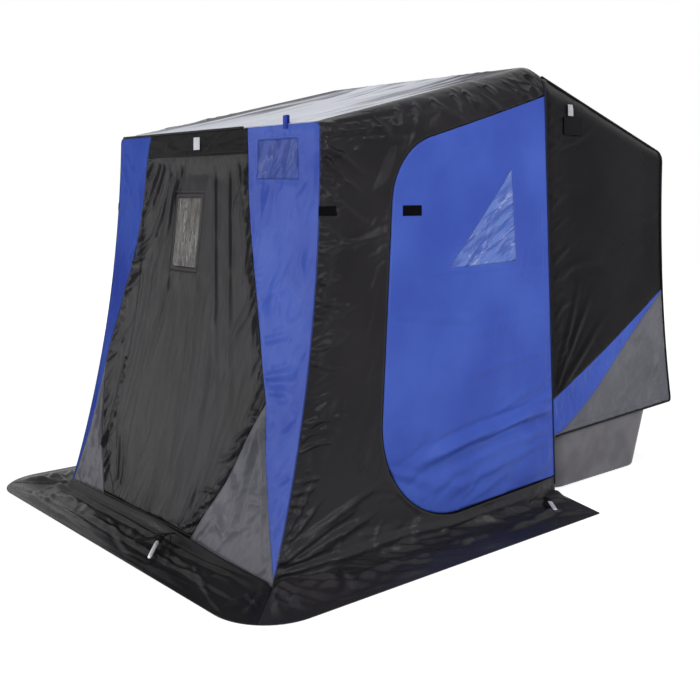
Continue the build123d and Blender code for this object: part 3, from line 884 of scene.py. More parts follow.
behind_hinge = front_cut + 0.002
stripe_upper = ((1500, 375), (1712, 487), (2071, 664), (2428, 853), (2850, 1082))
stripe_lower = (
    (1500, 225), (1712, 305), (1790, 325), (2020, 471), (2310, 712), (2478, 842), (2850, 1110)
)
hem_low, hem_high = 0.300, 0.340
rear_b = np.append(np.linspace(0.3, wall_cut, 50), np.linspace(wall_cut, top_cut, 6)[1:])
rear_edge = end_cut(rear_wall_y, rear_b, front_cut + rear_cut)


def smooth_line(points):
    """A smooth line through the points that a curved seam is drawn by."""
    points, steps = np.array(points, float), 24
    padded = np.vstack([2 * points[0] - points[1], points, 2 * points[-1] - points[-2]])
    line = []
    for p0, p1, p2, p3 in zip(padded, padded[1:], padded[2:], padded[3:]):
        t = np.linspace(0, 1, steps, endpoint=False)[:, None]
        line.append(
            0.5 * (2 * p1 + (p2 - p0) * t + (2 * p0 - 5 * p1 + 4 * p2 - p3) * t**2
                   + (3 * p1 - p0 - 3 * p2 + p3) * t**3)
        )
    return np.vstack([*line, points[-1:]])


def side_line(points):
    """Seam points in Y and Z, in millimetres, as a line on the side's cut."""
    line = smooth_line(np.array(points) / 1000)
    return side_cut(line[:, 0], line[:, 1])


def cross_at(line, a):
    """The height of a line on the cut at a."""
    return float(np.interp(a, line[:, 0], line[:, 1]))


def meet(line, edge):
    """Where a seam meets the side cloth's rear edge."""
    ahead = line[:, 0] - np.interp(line[:, 1], edge[:, 1], edge[:, 0])
    index = int(np.argmax(ahead > 0))
    share = -ahead[index - 1] / (ahead[index] - ahead[index - 1])
    return line[index - 1] + share * (line[index] - line[index - 1])


def behind_seam(line):
    """The part of a seam between the side seam and the rear edge."""
    last = meet(line, rear_edge)
    inside = line[(line[:, 0] > behind_hinge + 0.004) & (line[:, 0] < last[0] - 0.004)]
    return np.vstack([[(behind_hinge, cross_at(line, behind_hinge))], inside, [last]])


upper_seam = behind_seam(side_line(stripe_upper))
lower_seam = behind_seam(side_line(stripe_lower))
peak_y, rear_y, hem_y = peak_bow[0][1], rear_bow[0][1], np.linspace(1.70, 2.735, 12)
hem_z = hem_low + (hem_high - hem_low) * (hem_y - peak_y) / (rear_y - peak_y)
hem_line = behind_seam(side_cut(hem_y, hem_z))


def rear_between(low, high):
    """The rear edge's points between two heights of the cut."""
    return rear_edge[(rear_edge[:, 1] > low + 0.003) & (rear_edge[:, 1] < high - 0.003)]


rear_panel_outline = np.vstack([
    upper_seam, rear_between(upper_seam[-1, 1], top_cut), [rear_edge[-1]],
    [(behind_hinge, top_cut)],
])
stripe_outline = np.vstack([
    lower_seam, rear_between(lower_seam[-1, 1], upper_seam[-1, 1]), upper_seam[::-1]
])
lower_outline = np.vstack([
    hem_line, rear_between(hem_line[-1, 1], lower_seam[-1, 1]), lower_seam[::-1]
])


def rear_panel_drape(seed):
    """Drum tight, with a few level creases, and folds that rise from the low end of its seam."""
    edge = np.array(((1.74, 0.50), (1.60, 2.00)))
    folds = [
        *seam_folds(edge, -75, 0.15, 0.012, 0.0035, 0.055, seed),
        *seam_folds(edge, -85, 0.50, 0.020, 0.0030, 0.260, seed + 1),
        ((1.72, 0.54), (2.02, 1.02), 0.018, 0.008), ((1.73, 0.52), (1.92, 1.12), 0.016, 0.006),
        ((1.74, 0.51), (2.16, 0.90), 0.018, 0.006), ((1.72, 0.56), (1.84, 0.94), 0.013, 0.005),
    ]

    def drape(rest, gap, run):
        y, z = rest[:, 1], rest[:, 2]
        lift = -0.004 * settle(gap, 0.2)
        lift = lift + creases(y, z, 5, 0.5, 0.09, 0.0012, seed) * settle(gap, 0.05)
        lift = lift + facets(y, z, 8, 0.40, 0.14, 0.0022, seed + 4) * settle(gap, 0.05)
        lift = lift + lay_folds(y, z, folds) * settle(gap, 0.012)
        return np.minimum(lift, 0.12 * (y - seam_y(z)))
    return drape


# A darker copy of the black nylon for the rear half of the hut, the side rear panels, the rear
# slope and the rear wall: painted shade.
shaded_rear_nylon = cloth_finish("shaded_rear_nylon", "0C0A0D", "161417", 0.27, gloss=0.04)
grey_nylon = cloth_finish("grey_nylon", "4F4F57", "66666D", 0.28, gloss=0.07, rumple=0.5)
for side, mirrored, net, seed, _ in sides:
    for part, outline, drape, finish, net_share, slot in (
        ("rear_panel", rear_panel_outline, rear_panel_drape(seed + 80), shaded_rear_nylon, 1.5,
         "black_cloth"),
        ("stripe", stripe_outline, plain_drape(seed + 90, 75, 0.0060, 0.0030, 0.0160), blue_nylon,
         1.0, "blue_cloth"),
        ("lower_panel", lower_outline, plain_drape(seed + 95, 20, 0.0040, crush=0.0150),
         grey_nylon, 1.3, "grey_cloth"),
    ):
        sew(f"side_{part}_{side}_cloth", side_surface, outline, drape, finish, net * net_share,
            slot, mirrored=mirrored)

# --- Front wall -------------------------------------------------------------------------------
# Coated nylon, sewn together: a black middle panel that unzips and rolls up, with a tinted
# window, between two blue strips. A grey gusset widens each foot, a header joins the roof and
# a band closes the foot.
sunlit_nylon = cloth_finish("sunlit_nylon", "364A9E", "475FB4", 0.27, gloss=0.065, rumple=0.8)
shaded_nylon = cloth_finish("shaded_nylon", "24368A", "3B52A5", 0.42, gloss=0.012, rumple=0.8)
black_nylon = cloth_finish("black_nylon", "121013", "1F1D21", 0.24, gloss=0.075, rumple=0.4)
# A darker, duller copy of the black nylon for the header under the roof's edge: painted shade.
shaded_header_nylon = cloth_finish("shaded_header_nylon", "080709", "111012", 0.34, gloss=0.03)
tinted_film = film_finish("tinted_film", "2E2B29", "56524E", 0.88, 86, 0.20)
blue_film = film_finish("blue_film", "253780", "3B5099", 0.96, 62, 0.10, 0.40, 0.3,
                        roughness=0.36, gloss=0.08)
strip_seams = {
    "right": (
        (309, 1780), (317, 1650), (335, 1440), (387, 1220), (461, 990), (543, 765),
        (596, 640), (652, 450), (730, 270), (815, 110), (880, 0),
    ),
    "left": (
        (-466, 1780), (-520, 1620), (-555, 1410), (-603, 1193), (-676, 994), (-750, 765),
        (-779, 620), (-791, 450), (-815, 270), (-842, 108), (-868, -40),
    ),
}
gusset_seams = {
    "right": ((655, 740), (596, 640), (522, 513), (431, 306), (326, 139), (250, -10)),
    "left": ((-815, 720), (-779, 620), (-725, 415), (-667, 264), (-560, 90), (-500, -10)),
}
header_height, sill_height, eave_z = 1.632, 0.042, 1.737
front_corner = side_surface(*front_edge.T)[:, [0, 2]]
corner_line = {"right": front_corner, "left": front_corner * (-1, 1)}


def front_surface(a, b):
    return np.stack([a, front_wall_y(b), b], axis=-1)


def seam_x(seam, z):
    """Where a front seam is at a height."""
    line = smooth_line(np.array(seam) / 1000)[::-1]
    return np.interp(z, line[:, 1], line[:, 0])


def seam_between(seam, low, high):
    """A front seam from one height to another."""
    z = np.linspace(low, high, 60)
    return np.stack([seam_x(seam, z), z], axis=-1)


def front_drape(seed, angle, length, width, height, folds=(), sag=0.004, pucker=0.0014,
                crush=(0.12, 0.05, 0.0)):
    """Sags between its seams, with creases along the angle, puckers, facets and its folds."""
    def drape(rest, gap, run):
        x, z = rest[:, 0], rest[:, 2]
        lift = -sag * settle(gap, 0.12)
        lift = lift + creases(x, z, angle, length, width, height, seed) * settle(gap, 0.03)
        lift = lift + gathers(gap, run, 0.028, pucker, 0.028, seed)
        lift = lift + facets(x, z, angle - 12, *crush, seed + 2) * settle(gap, 0.03)
        return lift + lay_folds(x, z, folds) * settle(gap, 0.018)
    return drape


strip_folds = {
    "right": (
        ((0.56, 0.74), (0.80, 0.80), 0.018, 0.020), ((0.60, 0.69), (0.78, 0.71), 0.016, 0.012),
        ((0.52, 0.88), (0.74, 0.94), 0.016, 0.010), ((0.80, 0.62), (0.66, 0.52), 0.014, 0.006),
        ((0.82, 0.40), (0.72, 0.34), 0.012, 0.006), ((0.48, 1.02), (0.60, 1.16), 0.014, 0.005),
    ),
    "left": (
        ((-0.77, 1.60), (-0.62, 1.36), 0.016, 0.009), ((-0.76, 1.66), (-0.58, 1.50), 0.014, 0.007),
        ((-0.60, 1.20), (-0.74, 1.10), 0.014, 0.005),
    ),
}
gusset_folds = {
    "right": (
        ((0.60, 0.60), (0.62, 0.10), 0.020, 0.015), ((0.56, 0.52), (0.52, 0.04), 0.018, 0.014),
        ((0.60, 0.56), (0.70, 0.20), 0.016, 0.012), ((0.46, 0.34), (0.58, 0.12), 0.018, 0.015),
        ((0.38, 0.20), (0.52, 0.05), 0.014, 0.012), ((0.68, 0.34), (0.76, 0.10), 0.014, 0.012),
    ),
    "left": (
        ((-0.76, 0.58), (-0.78, 0.06), 0.018, 0.014), ((-0.74, 0.48), (-0.66, 0.06), 0.016, 0.014),
        ((-0.78, 0.40), (-0.84, 0.10), 0.014, 0.010),
    ),
}
strip_film = np.array(((387, 1528), (664, 1522), (649, 1679), (387, 1683))) / 1000
apex = {"right": 0.640, "left": 0.620}
for side, sign in (("right", 1), ("left", -1)):
    strip, gusset, corner = strip_seams[side], gusset_seams[side], corner_line[side]
    z_line = np.linspace(cloth_foot, eave_z, 200)
    inner = seam_x(strip, z_line) * sign
    outer = np.interp(z_line, corner[:, 1], corner[:, 0] * sign)
    crossing = z_line[int(np.argmax(inner < outer - 0.002))]
    strip_edge = seam_between(strip, crossing, eave_z)
    strip_outline = np.vstack([
        strip_edge, corner[::-1][corner[::-1][:, 1] > crossing + 0.004]
    ])
    sew(f"front_strip_{side}_cloth", front_surface, strip_outline,
        front_drape(310 + sign, 80, 0.30, 0.075, 0.0050, strip_folds[side], pucker=0.0026,
                    crush=(0.26, 0.10, 0.0130)),
        sunlit_nylon if side == "right" else shaded_nylon, fine_net, "blue_cloth",
        holes=(strip_film,) if side == "right" else ())
    gusset_edge = seam_between(gusset, cloth_foot, apex[side])
    shared = seam_between(strip, crossing, apex[side])
    rest_of_corner = corner[(corner[:, 1] < crossing) & (corner[:, 1] > cloth_foot)]
    gusset_outline = np.vstack([
        gusset_edge[:-1], shared[::-1], rest_of_corner[::-1], [(corner[0, 0], cloth_foot)]
    ])
    sew(f"front_gusset_{side}_cloth", front_surface, gusset_outline,
        front_drape(330 + sign, 62 * sign, 0.16, 0.055, 0.0040, gusset_folds[side],
                    crush=(0.15, 0.07, 0.0150)), grey_nylon, fine_net, "grey_cloth")
sew("strip_window_right_film", front_surface, strip_film,
    front_drape(350, 80, 0.2, 0.03, 0.002), blue_film, fine_net, "clear_film")


def middle_edge(side, low, high):
    """The middle panel's edge on one side: the strip's seam, and the gusset's below its tip."""
    above = seam_between(strip_seams[side], max(low, apex[side]), high)
    if low >= apex[side]:
        return above
    below = seam_between(gusset_seams[side], low, min(high, apex[side]))
    return below if high <= apex[side] else np.vstack([below[:-1], above])


def across_middle(low, high):
    """The middle panel's outline between two heights."""
    return np.vstack([middle_edge("right", low, high), middle_edge("left", low, high)[::-1]])


def taped_round(corners, width):
    """Corners of a frame that is wider than what it goes round, by a width on each side."""
    frame_corners = []
    for before, corner, after in zip(np.roll(corners, 1, 0), corners, np.roll(corners, -1, 0)):
        a = (corner - before) / np.linalg.norm(corner - before)
        b = (after - corner) / np.linalg.norm(after - corner)
        na, nb = np.array((a[1], -a[0])), np.array((b[1], -b[0]))
        frame_corners.append(corner + (na + nb) * width / (1 + float(na @ nb)))
    return np.array(frame_corners)


door_film = np.array(((-246, 1142), (-52, 1142), (-28, 1449), (-232, 1449))) / 1000
tape_outline = taped_round(door_film, 0.020)
middle_right, middle_left = (middle_edge(side, 0.06, 1.60) for side in ("right", "left"))
zip_line = np.array((
    (-0.551, 1.36), (-0.546, 1.157), (-0.579, 0.71), (-0.607, 0.653), (-0.618, 0.273),
    (-0.438, 0.05),
))
middle_folds = [
    *seam_folds(middle_right, 142, 0.16, 0.0095, 0.0070, 0.027, 371),
    *seam_folds(middle_right, 155, 0.34, 0.015, 0.0065, 0.110, 372),
    *seam_folds(middle_left, -38, 0.13, 0.0095, 0.0065, 0.026, 373),
    *seam_folds(middle_left, -28, 0.30, 0.014, 0.0060, 0.120, 374),
    *seam_folds(zip_line[2:5], 98, 0.030, 0.008, 0.0090, 0.026, 375),
    ((-0.30, 1.60), (-0.56, 1.12), 0.018, 0.012, 0.03),
    ((-0.24, 1.58), (-0.47, 1.00), 0.015, 0.010, 0.03),
    ((-0.36, 1.61), (-0.55, 1.30), 0.014, 0.010), ((-0.40, 1.61), (-0.54, 1.42), 0.012, 0.008),
    ((-0.20, 1.60), (-0.34, 1.28), 0.014, 0.008), ((-0.26, 1.12), (-0.42, 0.62), 0.016, 0.007),
    ((0.06, 1.61), (0.30, 0.40), 0.016, 0.007, -0.05),
    ((0.17, 1.61), (0.40, 0.42), 0.016, 0.007, -0.05),
    ((0.24, 1.61), (0.33, 1.15), 0.014, 0.007), ((-0.02, 1.12), (0.02, 0.10), 0.026, 0.004),
    ((-0.20, 1.10), (-0.24, 0.06), 0.030, 0.004), ((0.12, 1.00), (0.14, 0.06), 0.024, 0.004),
    ((-0.44, 0.10), (-0.58, 0.46), 0.016, 0.008), ((-0.40, 0.08), (-0.50, 0.40), 0.014, 0.007),
    ((0.22, 0.06), (0.34, 0.36), 0.014, 0.006), ((0.16, 0.05), (0.22, 0.30), 0.014, 0.005),
]
for piece, node, outline, holes, drape, finish, slot in (
    ("front_header_cloth", "front_header_panel", across_middle(header_height, eave_z), (),
     front_drape(360, 20, 0.3, 0.04, 0.002, crush=(0.16, 0.05, 0.004)), shaded_header_nylon,
     "black_cloth"),
    ("front_door_cloth", "front_door_panel", across_middle(sill_height, header_height),
     (tape_outline,),
     front_drape(370, 87, 0.70, 0.075, 0.0036, middle_folds, sag=0.008,
                 crush=(0.50, 0.09, 0.0040)), black_nylon, "black_cloth"),
    ("front_sill_cloth", "front_sill_band", across_middle(cloth_foot, sill_height), (),
     front_drape(380, 0, 0.3, 0.03, 0.002), black_nylon, "black_cloth"),
    ("front_window_tape_cloth", "front_window_tape", tape_outline, (door_film,),
     front_drape(390, 90, 0.2, 0.03, 0.001), black_nylon, "black_cloth"),
    ("front_door_window_film", "front_door_window", door_film, (),
     front_drape(395, 88, 0.3, 0.025, 0.003), tinted_film, "clear_film"),
):
    sew(piece, front_surface, outline, drape, finish, fine_net, slot, node, holes=holes)

# --- Roof -------------------------------------------------------------------------------------
# Two slopes of coated nylon, silver from the front bow up to the peak and black down to the
# rear bow. Both are pulled tight from bow to bow, so that long shallow folds run up the slope.
roof_half = ((0.309, 0.7532), (1.592, 0.6678), (2.615, 0.7270))
roof_net = 0.012
# The silver darkens towards the peak and the sides of the slope: painted shade.
silver_nylon = cloth_finish(
    "silver_nylon", "B7BAC6", "D8DAE2", 0.40, gloss=0.04, fade=("2C2936", -0.40, 0.32)
)


def roof_surface(a, b):
    levels = [bow[1] for bow in (front_bow, peak_bow, rear_bow)]
    z = np.interp(b, [level[1] for level in levels], [level[2] for level in levels])
    return np.stack([a, b, z], axis=-1)


def both_halves(right):
    """A panel's outline across the hut's middle, from its right half."""
    return np.vstack([right, (right * (-1, 1))[::-1]])


def roof_outline(first, last):
    edge = np.array(roof_half[first : last + 1])
    return both_halves(np.stack([edge[:, 1], edge[:, 0]], axis=-1))


def roof_drape(seed, height, folds=()):
    """Pulled from bow to bow, in long shallow creases that run up and down the slope."""
    def drape(rest, gap, run):
        x, y = rest[:, 0], rest[:, 1]
        lift = -0.010 * settle(gap, 0.4)
        lift = lift + creases(x, y, 88, 0.9, 0.10, height, seed) * settle(gap, 0.05)
        lift = lift + gathers(gap, run, 0.04, 0.0016, 0.05, seed)
        lift = lift + facets(x, y, 84, 0.55, 0.10, height, seed + 3) * settle(gap, 0.05)
        return lift + lay_folds(x, y, folds) * settle(gap, 0.012)
    return drape


front_eave = np.array(((0.72, 0.315), (-0.72, 0.315)))
peak_line = np.array(((-0.64, 1.588), (0.64, 1.588)))
roof_folds = [
    *seam_folds(front_eave, -88, 0.55, 0.022, 0.0075, 0.090, 405),
    *seam_folds(peak_line, -88, 0.60, 0.022, 0.0050, 0.080, 406),
]
sew("roof_front_cloth", roof_surface, roof_outline(0, 1), roof_drape(400, 0.005, roof_folds),
    silver_nylon, roof_net, "silver_cloth", "roof_front_panel")
sew("roof_rear_cloth", roof_surface, roof_outline(1, 2), roof_drape(420, 0.004), shaded_rear_nylon,
    coarse_net, "black_cloth", "roof_rear_panel")

# --- Rear wall --------------------------------------------------------------------------------
# One wall of coated nylon, black above and grey below a straight seam, stretched between the
# rear bow's two corners; its hem hangs over the sled's rim.


def rear_surface(a, b):
    return np.stack([-np.asarray(a), rear_wall_y(b), b], axis=-1)


rear_corner = side_surface(*rear_edge.T)[:, [0, 2]]
rear_hem, rear_seam_height, rear_head = 0.340, 0.955, 1.702


def rear_outline(low, high):
    z = np.linspace(low, high, 60)
    x = np.interp(z, rear_corner[:, 1], rear_corner[:, 0])
    return both_halves(np.stack([x, z], axis=-1))


def rear_drape(seed):
    """Pulled tight between the rear bow's legs, with upright creases."""
    def drape(rest, gap, run):
        x, z = rest[:, 0], rest[:, 2]
        lift = -0.004 * settle(gap, 0.2)
        lift = lift + creases(x, z, 85, 0.7, 0.09, 0.003, seed) * settle(gap, 0.04)
        return lift + gathers(gap, run, 0.034, 0.0015, 0.03, seed)
    return drape


sew("rear_wall_cloth", rear_surface, rear_outline(rear_seam_height, rear_head),
    rear_drape(440), shaded_rear_nylon, coarse_net, "black_cloth", "rear_wall_panel")
sew("rear_lower_cloth", rear_surface, rear_outline(rear_hem, rear_seam_height),
    rear_drape(450), grey_nylon, coarse_net, "grey_cloth", "rear_lower_panel")

# --- Ground skirt -----------------------------------------------------------------------------
# Heavy black coated cloth, sewn to the foot of the walls and laid out on the ice, where snow
# is banked on it; it is mitred at the front corners and hemmed all round.
skirt_x, skirt_front_y, skirt_rear_y, skirt_end_y = 1.164, -skirt_ahead, 1.667, 1.785
tuck = 0.060
tuck_corner = (0.868 - tuck, tuck)
tuck_end = (0.857 - tuck, skirt_end_y)
skirt_edge = rounded(
    [tuck_end, (skirt_x, skirt_rear_y), (skirt_x, skirt_front_y), (0, skirt_front_y)],
    (0.020, 0.240), 16,
)
# The side skirts' copy of this black cloth is paler and glossier than the front one's: painted
# light on the sides.
skirt_vinyl = cloth_finish("skirt_vinyl", "1C1B1D", "2B292C", 0.27, gloss=0.125, rumple=0.4)
front_vinyl = cloth_finish("front_vinyl", "121113", "1F1E20", 0.21, gloss=0.09, rumple=0.5)


def ice_surface(a, b):
    return np.stack([a, b, np.full(np.shape(a), 0.002)], axis=-1)


def before_mitre(line):
    """Splits the skirt's edge where the mitre from the tuck's corner meets it."""
    offset = (line[:, 0] - tuck_corner[0]) + (line[:, 1] - tuck_corner[1])
    index = int(np.argmax(offset < 0))
    share = offset[index - 1] / (offset[index - 1] - offset[index])
    point = line[index - 1] + share * (line[index] - line[index - 1])
    return np.vstack([line[:index], [point]]), np.vstack([[point], line[index:]])


side_part, front_part = before_mitre(skirt_edge)
wall_foot = np.array(((0.885, 0.02), (0.880, 1.70)))
corner_fan = [
    ((0.875, 0.02), (1.11, 0.12), 0.020, 0.014), ((0.88, 0.00), (1.14, -0.02), 0.018, 0.013),
    ((0.88, -0.01), (1.12, -0.14), 0.020, 0.015), ((0.87, -0.02), (1.02, -0.24), 0.018, 0.012),
    ((0.86, -0.02), (0.90, -0.27), 0.018, 0.010), ((0.90, 0.10), (1.14, 0.34), 0.022, 0.012),
    ((0.92, 0.30), (1.12, 0.16), 0.018, 0.011), ((0.98, 0.10), (1.00, 0.42), 0.018, 0.008),
]
side_ruck = [
    *seam_folds(wall_foot, -30, 0.30, 0.018, 0.0090, 0.120, 601),
    *seam_folds(wall_foot, -14, 0.40, 0.015, 0.0120, 0.180, 602),
    *seam_folds(wall_foot + (0.13, 0), -172, 0.34, 0.017, 0.0100, 0.190, 603),
    *corner_fan,
]
front_ruck = [
    ((-1.02, -0.012), (0.84, -0.012), 0.013, 0.024),
    ((-0.98, -0.060), (0.60, -0.085), 0.013, 0.016, 0.01),
    ((0.30, -0.075), (0.84, -0.040), 0.012, 0.014), ((-1.00, -0.02), (-1.12, -0.18), 0.018, 0.012),
    *seam_folds(((-0.95, -0.09), (0.80, -0.09)), -35, 0.22, 0.018, 0.0050, 0.200, 611),
    *seam_folds(((0.85, -0.10), (-0.95, -0.10)), 170, 0.40, 0.016, 0.0070, 0.240, 612),
    ((0.95, -0.165), (-0.85, -0.150), 0.016, 0.013, 0.01),
    ((-0.95, -0.200), (0.10, -0.215), 0.015, 0.007),
    ((0.20, -0.10), (0.62, -0.13), 0.016, 0.010), ((0.34, -0.12), (0.80, -0.20), 0.016, 0.009),
    *corner_fan,
]


def skirt_drape(seed, folds, foot, crush):
    """Lies on the ice, rucked where it leaves the wall, with a hem stitched round its edge."""
    wall_x, hem_in, hem_width, hem_depth = 0.866, 0.026, 0.004, 0.0010

    def drape(rest, gap, run):
        x, y = rest[:, 0], rest[:, 1]
        free = settle(gap, 0.06)
        away = (x - wall_x) if foot == "side" else -y
        rise = np.where(away > 0, np.exp(-((away / 0.045) ** 2)), np.clip(1 + away / 0.012, 0, 1))
        lift = 0.0012 + 0.017 * rise * settle(gap, 0.03)
        lift = lift + (0.002 + facets(x, y, *crush, seed)) * free
        lift = lift + lay_folds(x, y, folds, (0.1, 0.35)) * settle(gap, 0.035) * (away > -0.01)
        hem = np.exp(-(((gap - hem_in) / hem_width) ** 2)) * (away > 0.15)
        return np.maximum(lift - hem_depth * hem, 0.0006)
    return drape


laid = {"held": "laid", "rests_on": ("studio_floor",), "inset": 0.0}
side_outline = np.vstack([side_part, [tuck_corner]])
for side, mirrored, net, seed in (("right", False, fine_net, 500), ("left", True, coarse_net, 520)):
    sew(f"skirt_{side}_cloth", ice_surface, side_outline,
        skirt_drape(seed, side_ruck, "side", (74, 0.46, 0.15, 0.032)), skirt_vinyl, net,
        "skirt_cloth", mirrored=mirrored, **laid)
front_outline = np.vstack([
    front_part, ((front_part * (-1, 1))[::-1])[1:], [(-tuck_corner[0], tuck_corner[1])],
    [tuck_corner],
])
sew("skirt_front_cloth", ice_surface, front_outline,
    skirt_drape(540, front_ruck, "front", (4, 0.70, 0.13, 0.012)), front_vinyl, fine_net,
    "skirt_cloth", **laid)

# --- Carried parts ----------------------------------------------------------------------------
# The sled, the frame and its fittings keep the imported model's shapes: moulded polyethylene,
# galvanised tube, nylon corners, folded steel brackets, reflective tape and sewn-in cord.


def plain_finish(name, deep, pale, roughness, metallic=0.0, gloss=0.3, grain=60.0, bump=0.0006):
    """Moulded, painted, plated or woven in one colour, a little uneven, with a fine grain."""
    material = bpy.data.materials.new(name)
    start = bare(material)
    place = start.node("ShaderNodeTexCoord", outlet="Object")
    fine = place.noise(grain, 3.0)
    start.node(
        "ShaderNodeBsdfPrincipled",
        sockets={
            "Base Color": place.noise(6.0, 4.0).clear_of(0.35, 0.65).tint(paint(deep), paint(pale)),
            "Roughness": fine * 0.12 + (roughness - 0.06),
            "Metallic": metallic,
            "Specular IOR Level": gloss,
            "Normal": fine.relief(bump, 0.5),
        },
    ).shown()
    return material


for finish, nodes in (
    (plain_finish("sled_plastic", "4D4B50", "5E5C61", 0.5, gloss=0.3, grain=240.0, bump=0.0012),
     ("sled_tub",)),
    (plain_finish("galvanised_tube", "8E9094", "A6A8AC", 0.34, metallic=1.0, gloss=0.5),
     ("peak_bow_legs", "rear_bow_legs", "base_bow_legs", "base_bow_bends", "roof_rails",
      "peak_bow_spreader", "front_bow_spreader", "rear_bow_spreader", "base_bow_spreader")),
    (plain_finish("moulded_nylon", "1B1B1D", "29292B", 0.45),
     ("peak_bow_elbows", "front_bow_elbows", "rear_bow_elbows", "base_bow_elbows")),
    (plain_finish("painted_bracket", "232325", "303033", 0.4),
     ("pivot_bracket_right", "pivot_bracket_left")),
    (plain_finish("reflective_tape", "96989C", "AEB0B4", 0.3, metallic=0.2, grain=300.0),
     ("reflective_tabs",)),
    (plain_finish("sewn_cord", "131629", "1A1E38", 0.5, gloss=0.1, grain=500.0),
     ("door_hinge_cord_right", "door_hinge_cord_left")),
    (plain_finish("vent_flap", "0A090B", "121113", 0.6, gloss=0.05, grain=200.0), ("vent_flaps",)),
):
    for node in nodes:
        for material_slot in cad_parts[node].material_slots:
            material_slot.material = finish

# --- Doorway zip ------------------------------------------------------------------------------
# A black coil zip runs round each D-shaped doorway behind the gap: its tape is sewn under both
# cloths and its coil closes on the gap's middle line. Another runs up the front panel's left.
tape_width, tape_inset, coil_lift = 0.026, 0.0050, 0.0012
coil_pitch, coil_length, coil_width, coil_height = 0.0045, 0.0032, 0.0052, 0.0030
webbing = plain_finish("webbing", "0C0B0D", "141316", 0.5, gloss=0.1, grain=400.0, bump=0.001)


def found_on(panel, surface, flat, mirrored):
    """For points of a surface's cut, the nearest spots on the draped panel and their normals."""
    rest = in_place(surface(*flat.T) * ((-1, 1, 1) if mirrored else (1, 1, 1)))
    return [panels[panel].find_nearest(Vector(point))[:2] for point in rest]


def on_cloth(panel, surface, line, lift, mirrored=False):
    """A line on a surface's cut, as it lies on the draped panel of that name."""
    step = 0.008
    found = found_on(panel, surface, walk(line, step), mirrored)
    return np.array([spot + facing * lift for spot, facing in found])


def band_outline(line, width):
    """A band of that width along a line."""
    return np.vstack([grown(line, width / 2), grown(line, -width / 2)[::-1]])


def flat_drape(rest, gap, run):
    """Lies on its surface without a fold."""
    return np.zeros(len(rest))


def sewn_row(name, lines, pitch, length, width, height, finish, body):
    """A row of the same small piece, such as a stitch or a coil's turn, along each line."""
    points = np.vstack(lines)
    edges, count = [], 0
    for line in lines:
        edges += [(count + k, count + k + 1) for k in range(len(line) - 1)]
        count += len(line)
    mesh = bpy.data.meshes.new(name)
    mesh.from_pydata(points.tolist(), edges, [])
    runner = placed(name, mesh)
    tree = bpy.data.node_groups.new(name, "GeometryNodeTree")
    values = {"Pitch": pitch, "Length": length, "Width": width, "Height": height, "Seed": 1}
    tree.interface.new_socket("Geometry", in_out="INPUT", socket_type="NodeSocketGeometry")
    for label, value in values.items():
        kind = "NodeSocketInt" if label == "Seed" else "NodeSocketFloat"
        tree.interface.new_socket(label, in_out="INPUT", socket_type=kind)
    tree.interface.new_socket("Geometry", in_out="OUTPUT", socket_type="NodeSocketGeometry")
    start = Thread(tree)
    given = {
        label: start.node("NodeGroupInput", outlet=label) for label in ("Geometry", *values)
    }
    seam = start.node("GeometryNodeMeshToCurve", sockets={"Mesh": given["Geometry"]})
    places = start.node(
        "GeometryNodeResampleCurve", {"mode": "LENGTH"}, {"Curve": seam, "Length": given["Pitch"]}
    )
    heading = start.node(
        "FunctionNodeAlignRotationToVector",
        {"axis": "X"},
        {"Vector": start.node("GeometryNodeInputTangent")},
    )
    uneven = start.node(
        "FunctionNodeRandomValue",
        {"data_type": "FLOAT"},
        {2: 0.85, 3: 1.1, "Seed": given["Seed"]},
        outlet=1,
    )
    size = start.node(
        "ShaderNodeCombineXYZ",
        sockets={0: given["Length"] * uneven, 1: given["Width"], 2: given["Height"]},
    )
    bead = start.node(
        "GeometryNodeMeshUVSphere", sockets={"Segments": 5, "Rings": 3, "Radius": 0.5}
    )
    smooth = start.node("GeometryNodeSetShadeSmooth", sockets={"Geometry": bead})
    row = start.node(
        "GeometryNodeInstanceOnPoints",
        sockets={"Points": places, "Instance": smooth, "Rotation": heading, "Scale": size},
    )
    real = start.node("GeometryNodeRealizeInstances", sockets={"Geometry": row})
    done = start.node("GeometryNodeSetMaterial", sockets={"Geometry": real, "Material": finish})
    done.node("NodeGroupOutput", sockets={"Geometry": done})
    maker = runner.modifiers.new("row", "NODES")
    maker.node_group = tree
    for item in tree.interface.items_tree:
        if item.in_out == "INPUT" and item.name in values:
            maker[item.identifier] = values[item.name]
    result = bpy.data.meshes.new_from_object(
        runner.evaluated_get(bpy.context.evaluated_depsgraph_get())
    )
    runner.modifiers.remove(maker)
    runner.data = result
    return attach(runner, body)


coil_lines = []
doorway_zip = side_cut(*grown(door_line, -door_gap / 2).T)
doorway_zip[[0, -1], 0] = front_cut - 0.002
for side, mirrored, net, *_ in sides:
    tape = f"doorway_zip_tape_{side}"
    lay_cloth(tape, side_surface, band_outline(doorway_zip, tape_width), flat_drape, webbing, net,
              mirrored=mirrored, inset=tape_inset)
    coil_lines.append(on_cloth(tape, side_surface, doorway_zip, coil_lift, mirrored))
coil_lines.append(on_cloth("front_door_cloth", front_surface, smooth_line(zip_line), 0.0010))
sewn_row("zip_coils_hut", coil_lines, coil_pitch, coil_length, coil_width, coil_height, webbing,
         "hut")

# --- Piping -----------------------------------------------------------------------------------
# Black cord piping is caught in the seams of the rear half, down the rear slope and corners
# and round the hem over the sled, and in the left part of the front eave's seam.


